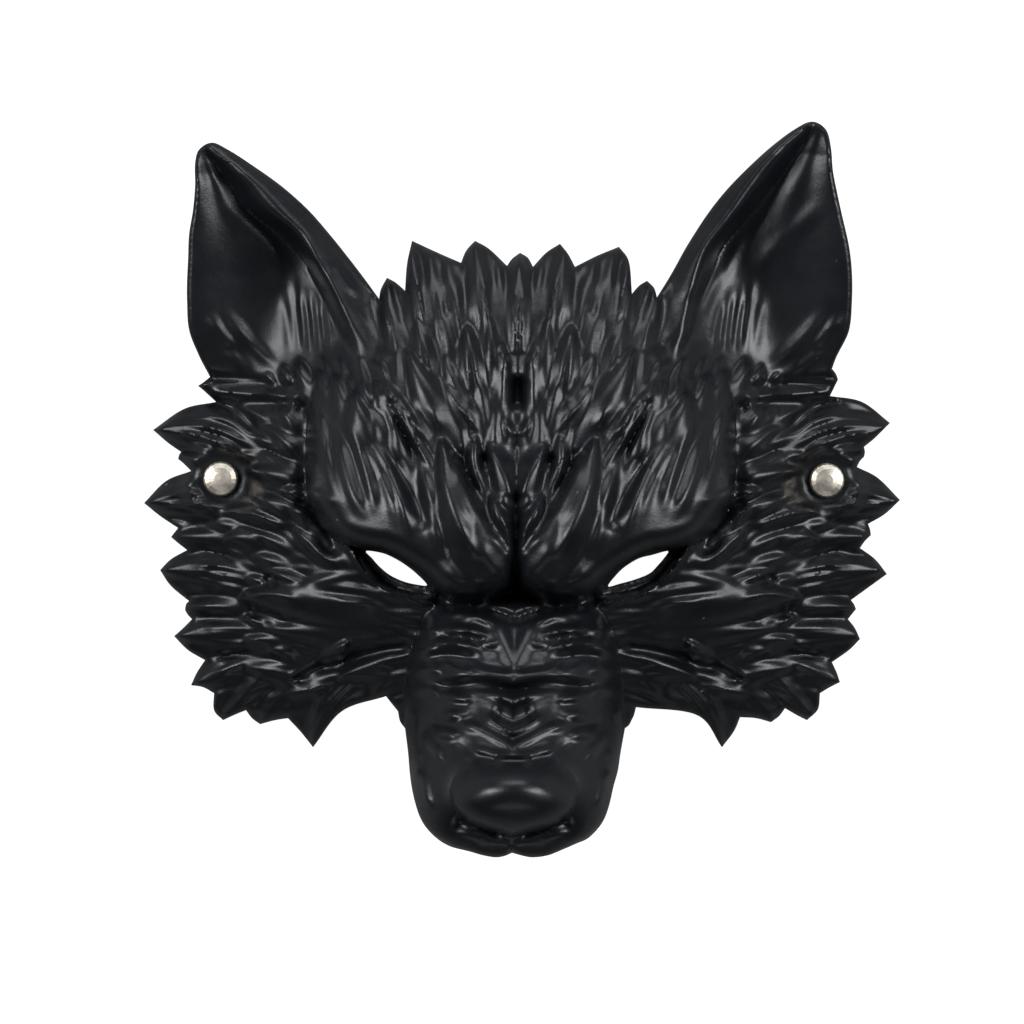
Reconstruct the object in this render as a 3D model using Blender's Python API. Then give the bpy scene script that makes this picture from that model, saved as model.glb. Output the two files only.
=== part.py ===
"""Werewolf half mask: one moulded foam shell in relief, with a two-piece rivet through each side.

The mask lies face up on the tips of its ruff. +X is to the right seen from the front, +Y runs up the
face to the ears and +Z out of the face. The tables hold places on the front view's drawing, x to the
right and y down the sheet, on which the mask is 756 units wide and 735 high, so that each unit is a
share of the mask's named width or height. Heights in the tables are shares of the named depths.
"""

import math

import bmesh
import bpy
import numpy as np
from mathutils import Matrix, Vector
from mathutils.geometry import delaunay_2d_cdt

# Driving sizes, in metres.
MASK_WIDTH = 0.220
MASK_HEIGHT = 0.214
FACE_DEPTH = 0.056
MUZZLE_REACH = 0.098
WALL = 0.0032
EDGE_WALL = 0.0034
BROW_RISE = 0.0125
LOCK_RISE = 0.0034
WRINKLE_RISE = 0.0018
NOSE_RISE = 0.0105
TRENCH_DEPTH = 0.0045
SOCKET_DEPTH = 0.0060
VIEW_DISTANCE = 1.10

RIVET_CAP_RADIUS = 0.0050
RIVET_CAP_RISE = 0.0017
RIVET_CAP_RIM = 0.0008
RIVET_POST_RADIUS = 0.0016
RIVET_HOLE_RADIUS = 0.0023
RIVET_BACK_RADIUS = 0.0042
RIVET_BACK_THICKNESS = 0.0009
RIVET_PAD_RADIUS = 0.0062
CLEARANCE = 0.0003

ROW_SPACING = 0.0031
COLUMN_SPACING = 0.0034
BACK_SPACING = 0.0064
RIM_POINT_SPACING = 0.0026

# The drawing: its extent in units, the place that the viewer faces, and the face's middle line, which
# leans a little and has the right half drawn slightly wider than the left.
DRAWN_WIDTH = 756.5
DRAWN_HEIGHT = 735.0
VIEW_X = 512.0
VIEW_Y = 512.0
AXIS_X = 516.0
AXIS_Y = 510.0
LEAN = 0.0133
RIGHT_STRETCH = 1.04
UNIT_X = MASK_WIDTH / DRAWN_WIDTH
UNIT_Y = MASK_HEIGHT / DRAWN_HEIGHT

# Teeth along the outline from the crown's middle down each side: where a tooth starts, the middle of
# its first side, its tip and the middle of its second side, each as x, y.
LEFT_CROWN = (
    (533, 267, 528, 258, 520, 253, 512, 259),
    (507, 266, 489, 249, 475, 241, 466, 251),
    (461, 263, 438, 253, 412, 241, 407, 264),
    (405, 291, 396, 283, 387, 278, 381, 289),
)
LEFT_TEETH = (
    (210, 377, 204, 382, 198, 386, 204, 391),
    (216, 402, 184, 409, 153, 430, 168, 443),
    (181, 452, 179, 455, 178, 459, 184, 464),
    (191, 471, 166, 481, 144, 503, 160, 516),
    (178, 528, 174, 533, 171, 537, 178, 543),
    (187, 550, 171, 559, 160, 570, 171, 586),
    (189, 601, 186, 604, 185, 610, 188, 615),
    (192, 619, 183, 628, 174, 636, 188, 650),
    (205, 660, 197, 672, 191, 685, 203, 687),
    (214, 693, 214, 710, 223, 720, 236, 714),
    (246, 710, 252, 718, 260, 724, 275, 720),
    (288, 718, 301, 732, 313, 747, 342, 711),
    (386, 696, 393, 705, 398, 711, 400, 721),
)
RIGHT_CROWN = (
    (533, 267, 546, 253, 560, 244, 568, 254),
    (575, 267, 597, 256, 619, 247, 629, 262),
    (632, 294, 639, 286, 647, 281, 654, 288),
)
RIGHT_TEETH = (
    (832, 369, 836, 374, 838, 380, 834, 388),
    (830, 396, 862, 402, 890, 423, 875, 438),
    (864, 447, 865, 452, 864, 457, 860, 461),
    (857, 467, 878, 478, 900, 500, 885, 514),
    (868, 524, 870, 529, 871, 535, 865, 541),
    (860, 548, 875, 559, 887, 574, 869, 587),
    (851, 600, 854, 604, 856, 609, 852, 614),
    (848, 619, 855, 628, 860, 639, 849, 650),
    (832, 662, 837, 673, 840, 682, 830, 687),
    (820, 693, 818, 709, 807, 720, 797, 715),
    (785, 708, 779, 716, 771, 722, 756, 718),
    (740, 717, 734, 731, 722, 747, 697, 715),
    (636, 707, 634, 715, 632, 719, 629, 725),
)
# Ears by level from the tip down: y, then the x of the outer edge, of the crease at the foot of the
# roll, of the roll's crest and of the inner edge.
LEFT_EAR = (
    (143, 212, 212, 212, 212),
    (150, 199, 207, 212, 228),
    (164, 195, 216, 234, 250),
    (186, 195, 232, 258, 281),
    (210, 193, 249, 279, 308),
    (235, 189, 280, 305, 330),
    (260, 188, 302, 319, 350),
    (281, 187, 313, 331, 366),
    (302, 187, 322, 342, 380),
    (330, 189, 331, 353, 392),
    (356, 199, 337, 364, 400),
    (377, 210, 341, 372, 404),
    (400, 214, 345, 378, 408),
)
RIGHT_EAR = (
    (122, 812, 812, 812, 812),
    (130, 826, 812, 799, 794),
    (148, 831, 800, 779, 770),
    (171, 833, 785, 759, 745),
    (192, 837, 769, 744, 725),
    (215, 842, 750, 728, 707),
    (246, 849, 724, 705, 687),
    (273, 852, 714, 694, 672),
    (302, 852, 705, 686, 657),
    (331, 849, 700, 680, 645),
    (356, 837, 697, 673, 638),
    (372, 831, 694, 668, 634),
    (400, 826, 690, 662, 630),
)
# An ear's heights from its tip to its base: outer edge, cup floor, crease, crest and inner edge.
EAR_HEIGHTS = (
    (0.00, 0.44, 0.44, 0.44, 0.46, 0.45),
    (0.12, 0.44, 0.40, 0.37, 0.50, 0.45),
    (0.45, 0.38, 0.33, 0.29, 0.56, 0.49),
    (0.75, 0.32, 0.29, 0.30, 0.61, 0.55),
    (1.00, 0.22, 0.28, 0.40, 0.66, 0.62),
)
# The muzzle's lower edge, left and right of the middle notch.
LIP_LEFT = ((450, 846), (469, 851), (483, 855), (496, 857), (505, 855.5))
LIP_RIGHT = ((525, 856), (534, 857), (548, 855), (562, 849.5), (577, 843))
LIP_NOTCH = (512, 852.5)
# Muzzle sections down the drawing: y, half width, top height, side edge height, then the free side
# edges' x, left and right.
MUZZLE_SECTIONS = (
    (560, 62, 0.38, 0.20, 0, 0),
    (596, 76, 0.48, 0.30, 0, 0),
    (620, 92, 0.56, 0.32, 0, 0),
    (650, 103, 0.62, 0.30, 0, 0),
    (680, 108, 0.675, 0.26, 0, 0),
    (705, 109, 0.73, 0.22, 0, 0),
    (728, 109, 0.785, 0.21, 405, 625),
    (752, 107, 0.84, 0.28, 408, 620.7),
    (770, 105, 0.875, 0.37, 409.5, 618),
    (786, 103, 0.89, 0.46, 411.5, 613.6),
    (802, 99, 0.89, 0.55, 415, 610),
    (816, 94, 0.88, 0.62, 419.6, 605.5),
    (827, 87, 0.865, 0.68, 426, 599),
    (838, 76, 0.85, 0.72, 436.7, 588),
    (850, 56, 0.82, 0.75, 0, 0),
    (862, 40, 0.79, 0.76, 0, 0),
)
MUZZLE_SQUARENESS = 2.7

# Reach of the ruff's tips from the middle line by level, and the face's height at shares of it.
RUFF_REACH = (
    (230, 330), (340, 345), (400, 358), (430, 366), (500, 374), (570, 358), (636, 343), (685, 326),
    (712, 300), (730, 262), (747, 206), (780, 200),
)
FACE_STATIONS = (0.0, 0.15, 0.30, 0.45, 0.58, 0.72, 0.88, 1.0, 1.1)
FACE_SECTIONS = (
    (225, 0.44, 0.43, 0.40, 0.34, 0.27, 0.21, 0.13, 0.055, 0.055),
    (280, 0.62, 0.61, 0.56, 0.46, 0.35, 0.24, 0.13, 0.055, 0.055),
    (340, 0.77, 0.76, 0.71, 0.59, 0.43, 0.28, 0.14, 0.055, 0.055),
    (400, 0.86, 0.86, 0.82, 0.71, 0.52, 0.32, 0.15, 0.055, 0.055),
    (460, 0.89, 0.89, 0.86, 0.76, 0.55, 0.34, 0.16, 0.055, 0.055),
    (520, 0.89, 0.89, 0.86, 0.75, 0.55, 0.35, 0.16, 0.055, 0.055),
    (580, 0.85, 0.84, 0.79, 0.67, 0.52, 0.35, 0.16, 0.055, 0.055),
    (640, 0.74, 0.71, 0.64, 0.53, 0.43, 0.31, 0.15, 0.055, 0.055),
    (700, 0.55, 0.53, 0.47, 0.38, 0.31, 0.23, 0.12, 0.055, 0.055),
    (747, 0.35, 0.33, 0.30, 0.24, 0.19, 0.14, 0.09, 0.055, 0.055),
)

LEAST_HEIGHT = 0.057

# Lower and outer edge of the left brow, from the crease between the brows round to the temple.
BROW_EDGE = (
    (517, 585), (498, 599), (475, 602), (456, 600), (433, 588), (424, 578), (405, 565), (382, 553),
    (356, 548), (331, 537), (315, 517), (306, 485), (306, 445), (311, 400), (330, 350), (360, 300),
)
# The recess round the left eye opening, between the brow and the lower lid.
SOCKET = (
    (345, 542), (368, 546), (384, 549), (405, 560), (424, 574), (440, 590), (452, 601), (432, 602),
    (412, 601), (394, 596), (376, 585), (362, 568),
)
BROW_TOP = ((420, 200), (540, 200), (540, 590))
# The eye opening's edge on each side, from its outer corner along the top.
LEFT_EYE = (
    (366, 551), (382, 553), (395, 558.5), (407, 566), (418, 575), (427, 585),
    (417, 584.5), (404, 581.5), (390, 575), (379, 566), (372, 558),
)
RIGHT_EYE = (
    (668, 551), (652, 555), (640, 558), (629, 564), (619, 572), (608, 586),
    (620, 583.5), (636, 579), (650, 573), (658, 565), (664, 558),
)

# Locks of fur on the left half, mirrored to the right: root, bend and tip as x, y, then the half
# width and the share of LOCK_RISE at the tip.
LOCKS = (
    (397, 372, 393, 320, 387, 278, 13, 0.9),
    (436, 366, 418, 300, 411, 241, 16, 1.0),
    (452, 366, 446, 300, 445, 252, 13, 0.8),
    (480, 348, 482, 290, 474, 241, 17, 1.0),
    (519, 352, 519, 300, 520, 253, 14, 1.0),
    (474, 398, 470, 360, 467, 326, 13, 1.0),
    (428, 380, 424, 348, 417, 322, 14, 0.9),
    (456, 440, 428, 395, 408, 351, 17, 1.1),
    (482, 430, 462, 412, 447, 388, 12, 1.0),
    (440, 468, 405, 430, 385, 381, 16, 1.1),
    (364, 441, 358, 415, 355, 394, 15, 0.9),
    (500, 575, 462, 505, 441, 442, 24, 1.2),
    (371, 509, 362, 455, 338, 417, 10, 0.9),
    (398, 519, 385, 470, 355, 438, 10, 0.9),
    (408, 540, 402, 485, 362, 440, 10, 0.9),
    (345, 532, 325, 480, 318, 421, 14, 0.8),
    (365, 542, 345, 490, 338, 445, 11, 0.7),
    (513, 510, 502, 475, 490, 446, 10, 1.0),
    (514, 562, 503, 528, 491, 497, 10, 0.9),
    (284, 402, 240, 392, 199, 386, 9, 0.8),
    (264, 446, 215, 418, 154, 429, 20, 1.1),
    (262, 463, 225, 455, 180, 458, 9, 0.8),
    (258, 500, 205, 488, 145, 503, 22, 1.1),
    (306, 479, 275, 474, 248, 470, 12, 1.0),
    (326, 502, 300, 492, 280, 491, 11, 1.0),
    (292, 531, 258, 516, 224, 512, 10, 0.9),
    (282, 551, 252, 542, 225, 536, 9, 0.9),
    (252, 545, 215, 536, 172, 537, 8, 0.8),
    (254, 581, 210, 569, 161, 570, 17, 1.1),
    (252, 607, 220, 604, 186, 609, 9, 0.9),
    (402, 620, 310, 603, 241, 598, 24, 1.1),
    (322, 591, 295, 580, 268, 570, 9, 1.0),
    (268, 640, 220, 632, 175, 636, 17, 1.1),
    (276, 668, 230, 668, 192, 685, 14, 1.0),
    (310, 673, 325, 655, 345, 641, 12, 1.0),
    (292, 680, 250, 692, 223, 719, 13, 1.0),
    (314, 685, 282, 700, 261, 723, 11, 1.0),
    (368, 668, 330, 700, 313, 746, 17, 1.1),
    (404, 664, 384, 680, 368, 695, 12, 1.0),
)
# Wrinkles across the muzzle: y at the middle, half length, how far the ends drop, width and share.
WRINKLES = (
    (618, 34, -6, 6, 0.8),
    (634, 66, -8, 6, 0.9),
    (652, 62, -6, 6, 1.0),
    (673, 60, -10, 7, 1.1),
    (690, 62, -2, 6, 0.9),
    (707, 46, -12, 6, 0.9),
    (739, 54, -17, 8, 1.1),
    (759, 60, -16, 7, 1.0),
)
# The nose pad: middle, half width and half height.
NOSE_X, NOSE_Y, NOSE_HALF_WIDTH, NOSE_HALF_HEIGHT = 514.0, 792.0, 63.0, 43.0
# Creases pressed into the form: both ends as x, y, half width, and the share of TRENCH_DEPTH.
CREASES = (
    (303, 410, 306, 500, 9, 0.9),
    (306, 500, 332, 546, 9, 0.8),
    (516, 384, 516, 402, 6, 0.8),
    (516, 450, 516, 500, 8, 0.3),
    (516, 500, 517, 592, 7, 1.0),
    (393, 405, 413, 458, 7, 0.5),
    (413, 458, 424, 520, 8, 0.5),
    (462, 456, 478, 502, 7, 0.4),
    (478, 502, 508, 548, 7, 0.4),
    (462, 824, 484, 836, 7, 0.7),
    (484, 836, 508, 839, 7, 0.7),
    (516, 842, 515, 853, 5, 0.5),
    (514, 592, 475, 606, 6, 0.8),
    (475, 606, 440, 600, 6, 0.8),
    (400, 645, 300, 676, 7, 0.6),
    (216, 402, 286, 404, 7, 0.5),
    (210, 380, 290, 388, 7, 0.5),
)
RIVET_PLACES = ((221.0, 479.0), (826.5, 480.5))
SIDE_NAMES = ("left", "right")


def smooth_run(points, spacing, closed=False):
    """Points about a spacing apart on a smooth curve through the given ones, in drawing units."""
    places = [np.array(point, dtype=float) for point in points]
    if closed:
        places = [places[-1]] + places + places[:2]
    else:
        places = [2 * places[0] - places[1]] + places + [2 * places[-1] - places[-2]]
    run = []
    for a, b, c, d in zip(places, places[1:], places[2:], places[3:]):
        steps = max(1, round(float(np.linalg.norm(c - b)) / spacing))
        for step in range(steps):
            t = step / steps
            run.append(0.5 * (2 * b + (c - a) * t + (2 * a - 5 * b + 4 * c - d) * t * t
                              + (3 * b - a - 3 * c + d) * t ** 3))
    if not closed:
        run.append(places[-2])
    return run


def tooth_run(rows, end, spacing):
    """The outline through a table of teeth, up to the place where the next feature starts."""
    run = []
    starts = [row[:2] for row in rows[1:]] + [end]
    for row, following in zip(rows, starts):
        run += smooth_run((row[0:2], row[2:4], row[4:6]), spacing)[:-1]
        run += smooth_run((row[4:6], row[6:8], following), spacing)[:-1]
    return run


def ear_run(rows, start, end, spacing):
    """An ear's edge from the crown's side over the tip and down to the ruff."""
    level = [row for row in rows if row[0] < min(start[1], 290)]
    inner = [start] + [(row[4], row[0]) for row in reversed(level[1:])]
    tip = (rows[0][1], rows[0][0])
    outer = [(row[1], row[0]) for row in rows[1:] if row[0] < end[1] - 8] + [end]
    return smooth_run(inner + [tip] + outer, spacing)[:-1]


def outline(spacing):
    """The mask's whole outline on the drawing, counter-clockwise as drawn."""
    left_ear_start, left_ear_end = (379, 299), LEFT_TEETH[0][:2]
    right_ear_start, right_ear_end = (657, 297.5), RIGHT_TEETH[0][:2]
    free = [row for row in MUZZLE_SECTIONS if row[4]]
    left = tooth_run(LEFT_CROWN, left_ear_start, spacing)
    left += ear_run(LEFT_EAR, left_ear_start, left_ear_end, spacing)
    left += tooth_run(LEFT_TEETH, (free[0][4], free[0][0]), spacing)
    left += smooth_run([(row[4], row[0]) for row in free] + list(LIP_LEFT) + [LIP_NOTCH], spacing)[:-1]
    right = tooth_run(RIGHT_CROWN, right_ear_start, spacing)
    right += ear_run(RIGHT_EAR, right_ear_start, right_ear_end, spacing)
    right += tooth_run(RIGHT_TEETH, (free[0][5], free[0][0]), spacing)
    right += smooth_run([(row[5], row[0]) for row in free] + list(reversed(LIP_RIGHT)) + [LIP_NOTCH],
                        spacing)
    return np.array(left + right[:0:-1])


def circle(centre, radius, count):
    """A circle of a real radius drawn on the sheet."""
    turns = [2 * math.pi * i / count for i in range(count)]
    return np.array([(centre[0] + radius / UNIT_X * math.cos(turn),
                      centre[1] + radius / UNIT_Y * math.sin(turn)) for turn in turns])


def step(values, low, high):
    """A smooth change from 0 at the low value to 1 at the high one."""
    share = np.clip((values - low) / (high - low), 0, 1)
    return share * share * (3 - 2 * share)


def axis(y):
    return AXIS_X + LEAN * (AXIS_Y - y)


def left_chart(x, y):
    """The place on the left half that the place x, y shares its form with."""
    middle = axis(y)
    return np.where(x > middle, middle - (x - middle) / RIGHT_STRETCH, x)


def segment_distance(x, y, start, end):
    """Distance from a segment and the share of the way along it."""
    dx, dy = end[0] - start[0], end[1] - start[1]
    along = np.clip(((x - start[0]) * dx + (y - start[1]) * dy) / (dx * dx + dy * dy), 0, 1)
    return np.hypot(x - start[0] - along * dx, y - start[1] - along * dy), along


def run_distance(x, y, run, closed=False):
    """Distance from the nearest segment of a run."""
    ends = list(run[1:]) + ([run[0]] if closed else [])
    nearest = np.full(np.shape(x), 1e9)
    for start, end in zip(run, ends):
        nearest = np.minimum(nearest, segment_distance(x, y, start, end)[0])
    return nearest


def inside(x, y, polygon):
    """Whether places lie inside a polygon."""
    odd = np.zeros(np.shape(x), dtype=bool)
    for (x0, y0), (x1, y1) in zip(polygon, np.roll(np.array(polygon, dtype=float), -1, axis=0)):
        if y0 != y1:
            crosses = (y0 > y) != (y1 > y)
            odd ^= crosses & (x < x0 + (y - y0) * (x1 - x0) / (y1 - y0))
    return odd


def table_value(rows, y, column):
    return np.interp(y, [row[0] for row in rows], [row[column] for row in rows])


def smooth_table(rows, y):
    """All columns of a table at the given levels, with the rows joined smoothly."""
    levels = np.array([row[0] for row in rows], dtype=float)
    values = np.array([row[1:] for row in rows], dtype=float)
    place = np.clip(np.searchsorted(levels, y) - 1, 0, len(levels) - 2)
    share = np.clip((y - levels[place]) / (levels[place + 1] - levels[place]), 0, 1)[..., None]
    before = values[np.maximum(place - 1, 0)]
    after = values[np.minimum(place + 2, len(levels) - 1)]
    here, following = values[place], values[place + 1]
    return 0.5 * (2 * here + (following - before) * share
                  + (2 * before - 5 * here + 4 * following - after) * share ** 2
                  + (3 * here - before - 3 * following + after) * share ** 3)


def smooth_max(a, b, width):
    blend = np.clip(0.5 + 0.5 * (a - b) / width, 0, 1)
    return b + (a - b) * blend + width * blend * (1 - blend)


def face_form(x, y):
    """The face and ruff without muzzle, ears or relief."""
    reach = np.interp(y, [row[0] for row in RUFF_REACH], [row[1] for row in RUFF_REACH])
    share = np.abs(x - axis(y)) / reach
    heights = smooth_table(FACE_SECTIONS, y)
    stations = np.array(FACE_STATIONS)
    place = np.clip(np.searchsorted(stations, share) - 1, 0, len(stations) - 2)
    t = np.clip((share - stations[place]) / (stations[place + 1] - stations[place]), 0, 1)

    def column(offset):
        index = np.abs(place + offset)
        index = np.minimum(index, len(stations) - 1)
        return np.take_along_axis(heights, index[..., None], axis=-1)[..., 0]

    a, b, c, d = column(-1), column(0), column(1), column(2)
    level = 0.5 * (2 * b + (c - a) * t + (2 * a - 5 * b + 4 * c - d) * t ** 2
                   + (3 * b - a - 3 * c + d) * t ** 3)
    return FACE_DEPTH * np.maximum(level, LEAST_HEIGHT)


def brow_form(x, y):
    """The two brow lobes, rolled over at their lower and outer edge."""
    edge = smooth_run(BROW_EDGE, 14)
    polygon = list(edge) + [np.array(point) for point in BROW_TOP]
    depth = run_distance(x, y, edge)
    roll = np.clip(depth / 24, 0, 1)
    rise = np.sqrt(1 - (1 - roll) ** 2) * (1 - 0.85 * step(depth, 40, 170)) * step(y, 330, 560)
    return BROW_RISE * np.where(inside(x, y, polygon), rise, 0)


def muzzle_form(x, y):
    """The muzzle as rounded box sections that end in free side edges below the ruff."""
    values = smooth_table([row[:4] for row in MUZZLE_SECTIONS], y)
    half, top, edge = values[..., 0], values[..., 1], values[..., 2]
    share = np.clip(np.abs(x - axis(y)) / half, 0, 1.2)
    body = np.clip(1 - np.minimum(share, 1) ** MUZZLE_SQUARENESS, 0, 1) ** (1 / MUZZLE_SQUARENESS)
    level = edge + (top - edge) * body - 2.0 * np.maximum(share - 1, 0)
    return MUZZLE_REACH * np.where(y < 560, -1, level)


def nose_form(x, y):
    across = (x - NOSE_X) / NOSE_HALF_WIDTH
    down = (y - NOSE_Y) / NOSE_HALF_HEIGHT
    fullness = 1.5 - 1.0 * step(down, -0.7, 0.4)
    return NOSE_RISE * np.clip(1 - across ** 2 - down ** 2, 0, 1) ** fullness


def ear_form(x, y, rows):
    """One ear: thin outer edge, hollow cup, crease, and the thick roll along the inner edge."""
    edges = smooth_table(rows, np.clip(y, rows[0][0] + 0.1, rows[-1][0]))
    down = (y - rows[0][0]) / (rows[-1][0] - rows[0][0])
    levels = smooth_table(EAR_HEIGHTS, np.clip(down, 0, 1))
    outer, crease, crest, inner = (edges[..., i] for i in range(4))
    sign = 1.0 if rows[-1][4] > rows[-1][1] else -1.0
    width = np.maximum(sign * (inner - outer), 1)
    q = sign * (x - outer) / width
    q_crease, q_crest = sign * (crease - outer) / width, sign * (crest - outer) / width
    q_floor = 0.55 * q_crease
    height = np.where(
        q < q_floor, levels[..., 0] + (levels[..., 1] - levels[..., 0]) * step(q, 0.0, q_floor),
        np.where(q < q_crease,
                 levels[..., 1] + (levels[..., 2] - levels[..., 1]) * step(q, q_floor, q_crease),
                 np.where(q < q_crest,
                          levels[..., 2] + (levels[..., 3] - levels[..., 2])
                          * np.sin(0.5 * math.pi * np.clip(
                              (q - q_crease) / np.maximum(q_crest - q_crease, 1e-3), 0, 1)),
                          levels[..., 3] + (levels[..., 4] - levels[..., 3]) * step(q, q_crest, 1.0))))
    beyond = np.maximum(q - 1, 0) * width / 60 + np.maximum(down - 0.93, 0) * 3.5
    return FACE_DEPTH * (height - beyond)


def crease_form(x, y):
    depth = np.zeros(np.shape(x))
    for x0, y0, x1, y1, half, share in CREASES:
        distance, _ = segment_distance(x, y, (x0, y0), (x1, y1))
        depth = np.maximum(depth, share * np.exp(-(distance / half) ** 2))
    socket = inside(x, y, SOCKET) * step(run_distance(x, y, SOCKET, closed=True), 0, 9)
    return TRENCH_DEPTH * depth + SOCKET_DEPTH * socket


def form_height(x, y):
    """The mask's front without its locks and wrinkles."""
    chart = left_chart(x, y)
    face = face_form(x, y) + brow_form(chart, y)
    height = smooth_max(face, muzzle_form(x, y), 0.006)
    for rows in (LEFT_EAR, RIGHT_EAR):
        low, high = sorted((rows[0][1], rows[-1][4]))
        near = (y < 415) & (x > min(low, high) - 60) & (x < max(low, high) + 60)
        side = (x < AXIS_X) if rows is LEFT_EAR else (x > AXIS_X)
        ear = np.where(near & side, ear_form(x, y, rows), -1)
        height = np.where(near & side, smooth_max(height, ear, 0.004), height)
    height = height + nose_form(x, y) - crease_form(chart, y)
    for place in RIVET_PLACES:
        level = rivet_level(place)
        distance = np.hypot((x - place[0]) * UNIT_X, (y - place[1]) * UNIT_Y)
        height = level + (height - level) * step(distance, RIVET_PAD_RADIUS, 2.2 * RIVET_PAD_RADIUS)
    return height


def level_pads(x, y, height, drop):
    """Heights made level on the rivets' pads, that much below the caps' seats."""
    for place in RIVET_PLACES:
        distance = np.hypot((x - place[0]) * UNIT_X, (y - place[1]) * UNIT_Y)
        height = np.where(distance < RIVET_PAD_RADIUS, rivet_level(place) - drop, height)
    return height


def rivet_level(place):
    """Height of the level pad that a rivet sits on."""
    x, y = np.array([place[0]]), np.array([place[1]])
    return float(face_form(x, y)[0]) + 0.4 * LOCK_RISE


def lock_relief(x, y):
    """Overlapping leaf-shaped locks, each rising from its root to a raised tip."""
    relief = np.zeros(np.shape(x))
    for x0, y0, x1, y1, x2, y2, half, share in LOCKS:
        near = ((x > min(x0, x1, x2) - half - 4) & (x < max(x0, x1, x2) + half + 4)
                & (y > min(y0, y1, y2) - half - 4) & (y < max(y0, y1, y2) + half + 4))
        px, py = x[near], y[near]
        best, along = np.full(px.shape, 1e9), np.zeros(px.shape)
        bends = 6
        points = []
        for i in range(bends + 1):
            t = i / bends
            points.append(((1 - t) ** 2 * x0 + 2 * t * (1 - t) * x1 + t * t * x2,
                           (1 - t) ** 2 * y0 + 2 * t * (1 - t) * y1 + t * t * y2))
        for i, (start, end) in enumerate(zip(points, points[1:])):
            distance, part = segment_distance(px, py, start, end)
            closer = distance < best
            best = np.where(closer, distance, best)
            along = np.where(closer, (i + part) / bends, along)
        width = half * np.minimum(1, 0.65 + along) * np.clip(1 - along ** 3, 0.02, 1) ** 0.6
        dome = np.clip(1 - (best / width) ** 2, 0, 1) ** 0.8
        lift = share * (0.25 + 0.75 * along ** 0.7) * np.clip(along * 8, 0, 1)
        relief[near] = np.maximum(relief[near], dome * lift)
    return LOCK_RISE * relief


def wrinkle_relief(x, y):
    """Folds that run across the muzzle's top in flat arches."""
    relief = np.zeros(np.shape(x))
    for middle, half, drop, width, share in WRINKLES:
        across = np.abs(x - axis(y)) / half
        line = middle + drop * across ** 1.3
        fade = 1 - step(across, 0.75, 1.25)
        relief = np.maximum(relief, share * fade * np.exp(-((y - line) / width) ** 2))
    return WRINKLE_RISE * relief


def rivet_cover(x, y):
    """1 away from the rivets' pads and 0 on them."""
    cover = np.ones(np.shape(x))
    for place in RIVET_PLACES:
        distance = np.hypot((x - place[0]) * UNIT_X, (y - place[1]) * UNIT_Y)
        cover = cover * step(distance, RIVET_PAD_RADIUS, 1.7 * RIVET_PAD_RADIUS)
    return cover


def front_height(x, y):
    """The mask's front with all its relief."""
    chart = left_chart(x, y)
    relief = np.maximum(lock_relief(chart, y), wrinkle_relief(x, y))
    return form_height(x, y) + relief * rivet_cover(x, y)


def back_field(cell):
    """Grid of the inner face: the form's lower envelope one wall inside it, never below the rest plane."""
    xs = np.arange(130, 915, cell)
    ys = np.arange(108, 872, cell)
    x, y = np.meshgrid(xs, ys)
    form = form_height(x.astype(float), y.astype(float))
    field = form - WALL
    reach_x, reach_y = int(WALL / UNIT_X / cell), int(WALL / UNIT_Y / cell)
    for j in range(-reach_y, reach_y + 1):
        for i in range(-reach_x, reach_x + 1):
            flat = math.hypot(i * cell * UNIT_X, j * cell * UNIT_Y)
            if flat < WALL:
                moved = np.roll(np.roll(form, i, axis=1), j, axis=0) - math.sqrt(WALL ** 2 - flat ** 2)
                field = np.minimum(field, moved)
    return xs, ys, field


def sample(field, x, y):
    """Values of a grid field at places on the drawing."""
    xs, ys, values = field
    fx = np.clip((x - xs[0]) / (xs[1] - xs[0]), 0, len(xs) - 1.001)
    fy = np.clip((y - ys[0]) / (ys[1] - ys[0]), 0, len(ys) - 1.001)
    i, j = fx.astype(int), fy.astype(int)
    u, v = fx - i, fy - j
    return ((values[j, i] * (1 - u) + values[j, i + 1] * u) * (1 - v)
            + (values[j + 1, i] * (1 - u) + values[j + 1, i + 1] * u) * v)


def spread_points(loops, row_spacing, column_spacing):
    """Points in staggered rows inside the first loop, spaced by length over the form."""
    xs = np.arange(130, 915, 1.0)
    found = []
    levels = np.arange(112, 866, row_spacing / UNIT_Y)
    for number, y in enumerate(levels):
        height = form_height(xs, np.full(xs.shape, y))
        length = np.concatenate(([0], np.cumsum(np.hypot(np.diff(xs) * UNIT_X, np.diff(height)))))
        marks = np.arange((0.25 + 0.5 * (number % 2)) * column_spacing, length[-1], column_spacing)
        found += [(float(x), float(y)) for x in np.interp(marks, length, xs)]
    x, y = np.array(found).T
    keep = inside(x, y, loops[0])
    for loop in loops[1:]:
        keep &= ~inside(x, y, loop)
    clear = 0.6 * min(row_spacing, column_spacing) / UNIT_X
    for loop in loops:
        keep &= run_distance(x, y, list(loop), closed=True) > clear
    for place in RIVET_PLACES:
        keep &= np.hypot((x - place[0]) * UNIT_X, (y - place[1]) * UNIT_Y) > RIVET_PAD_RADIUS
    rings = np.concatenate([circle(place, 0.8 * RIVET_PAD_RADIUS, 16) for place in RIVET_PLACES])
    return np.concatenate((x[keep], rings[:, 0])), np.concatenate((y[keep], rings[:, 1]))


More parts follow.
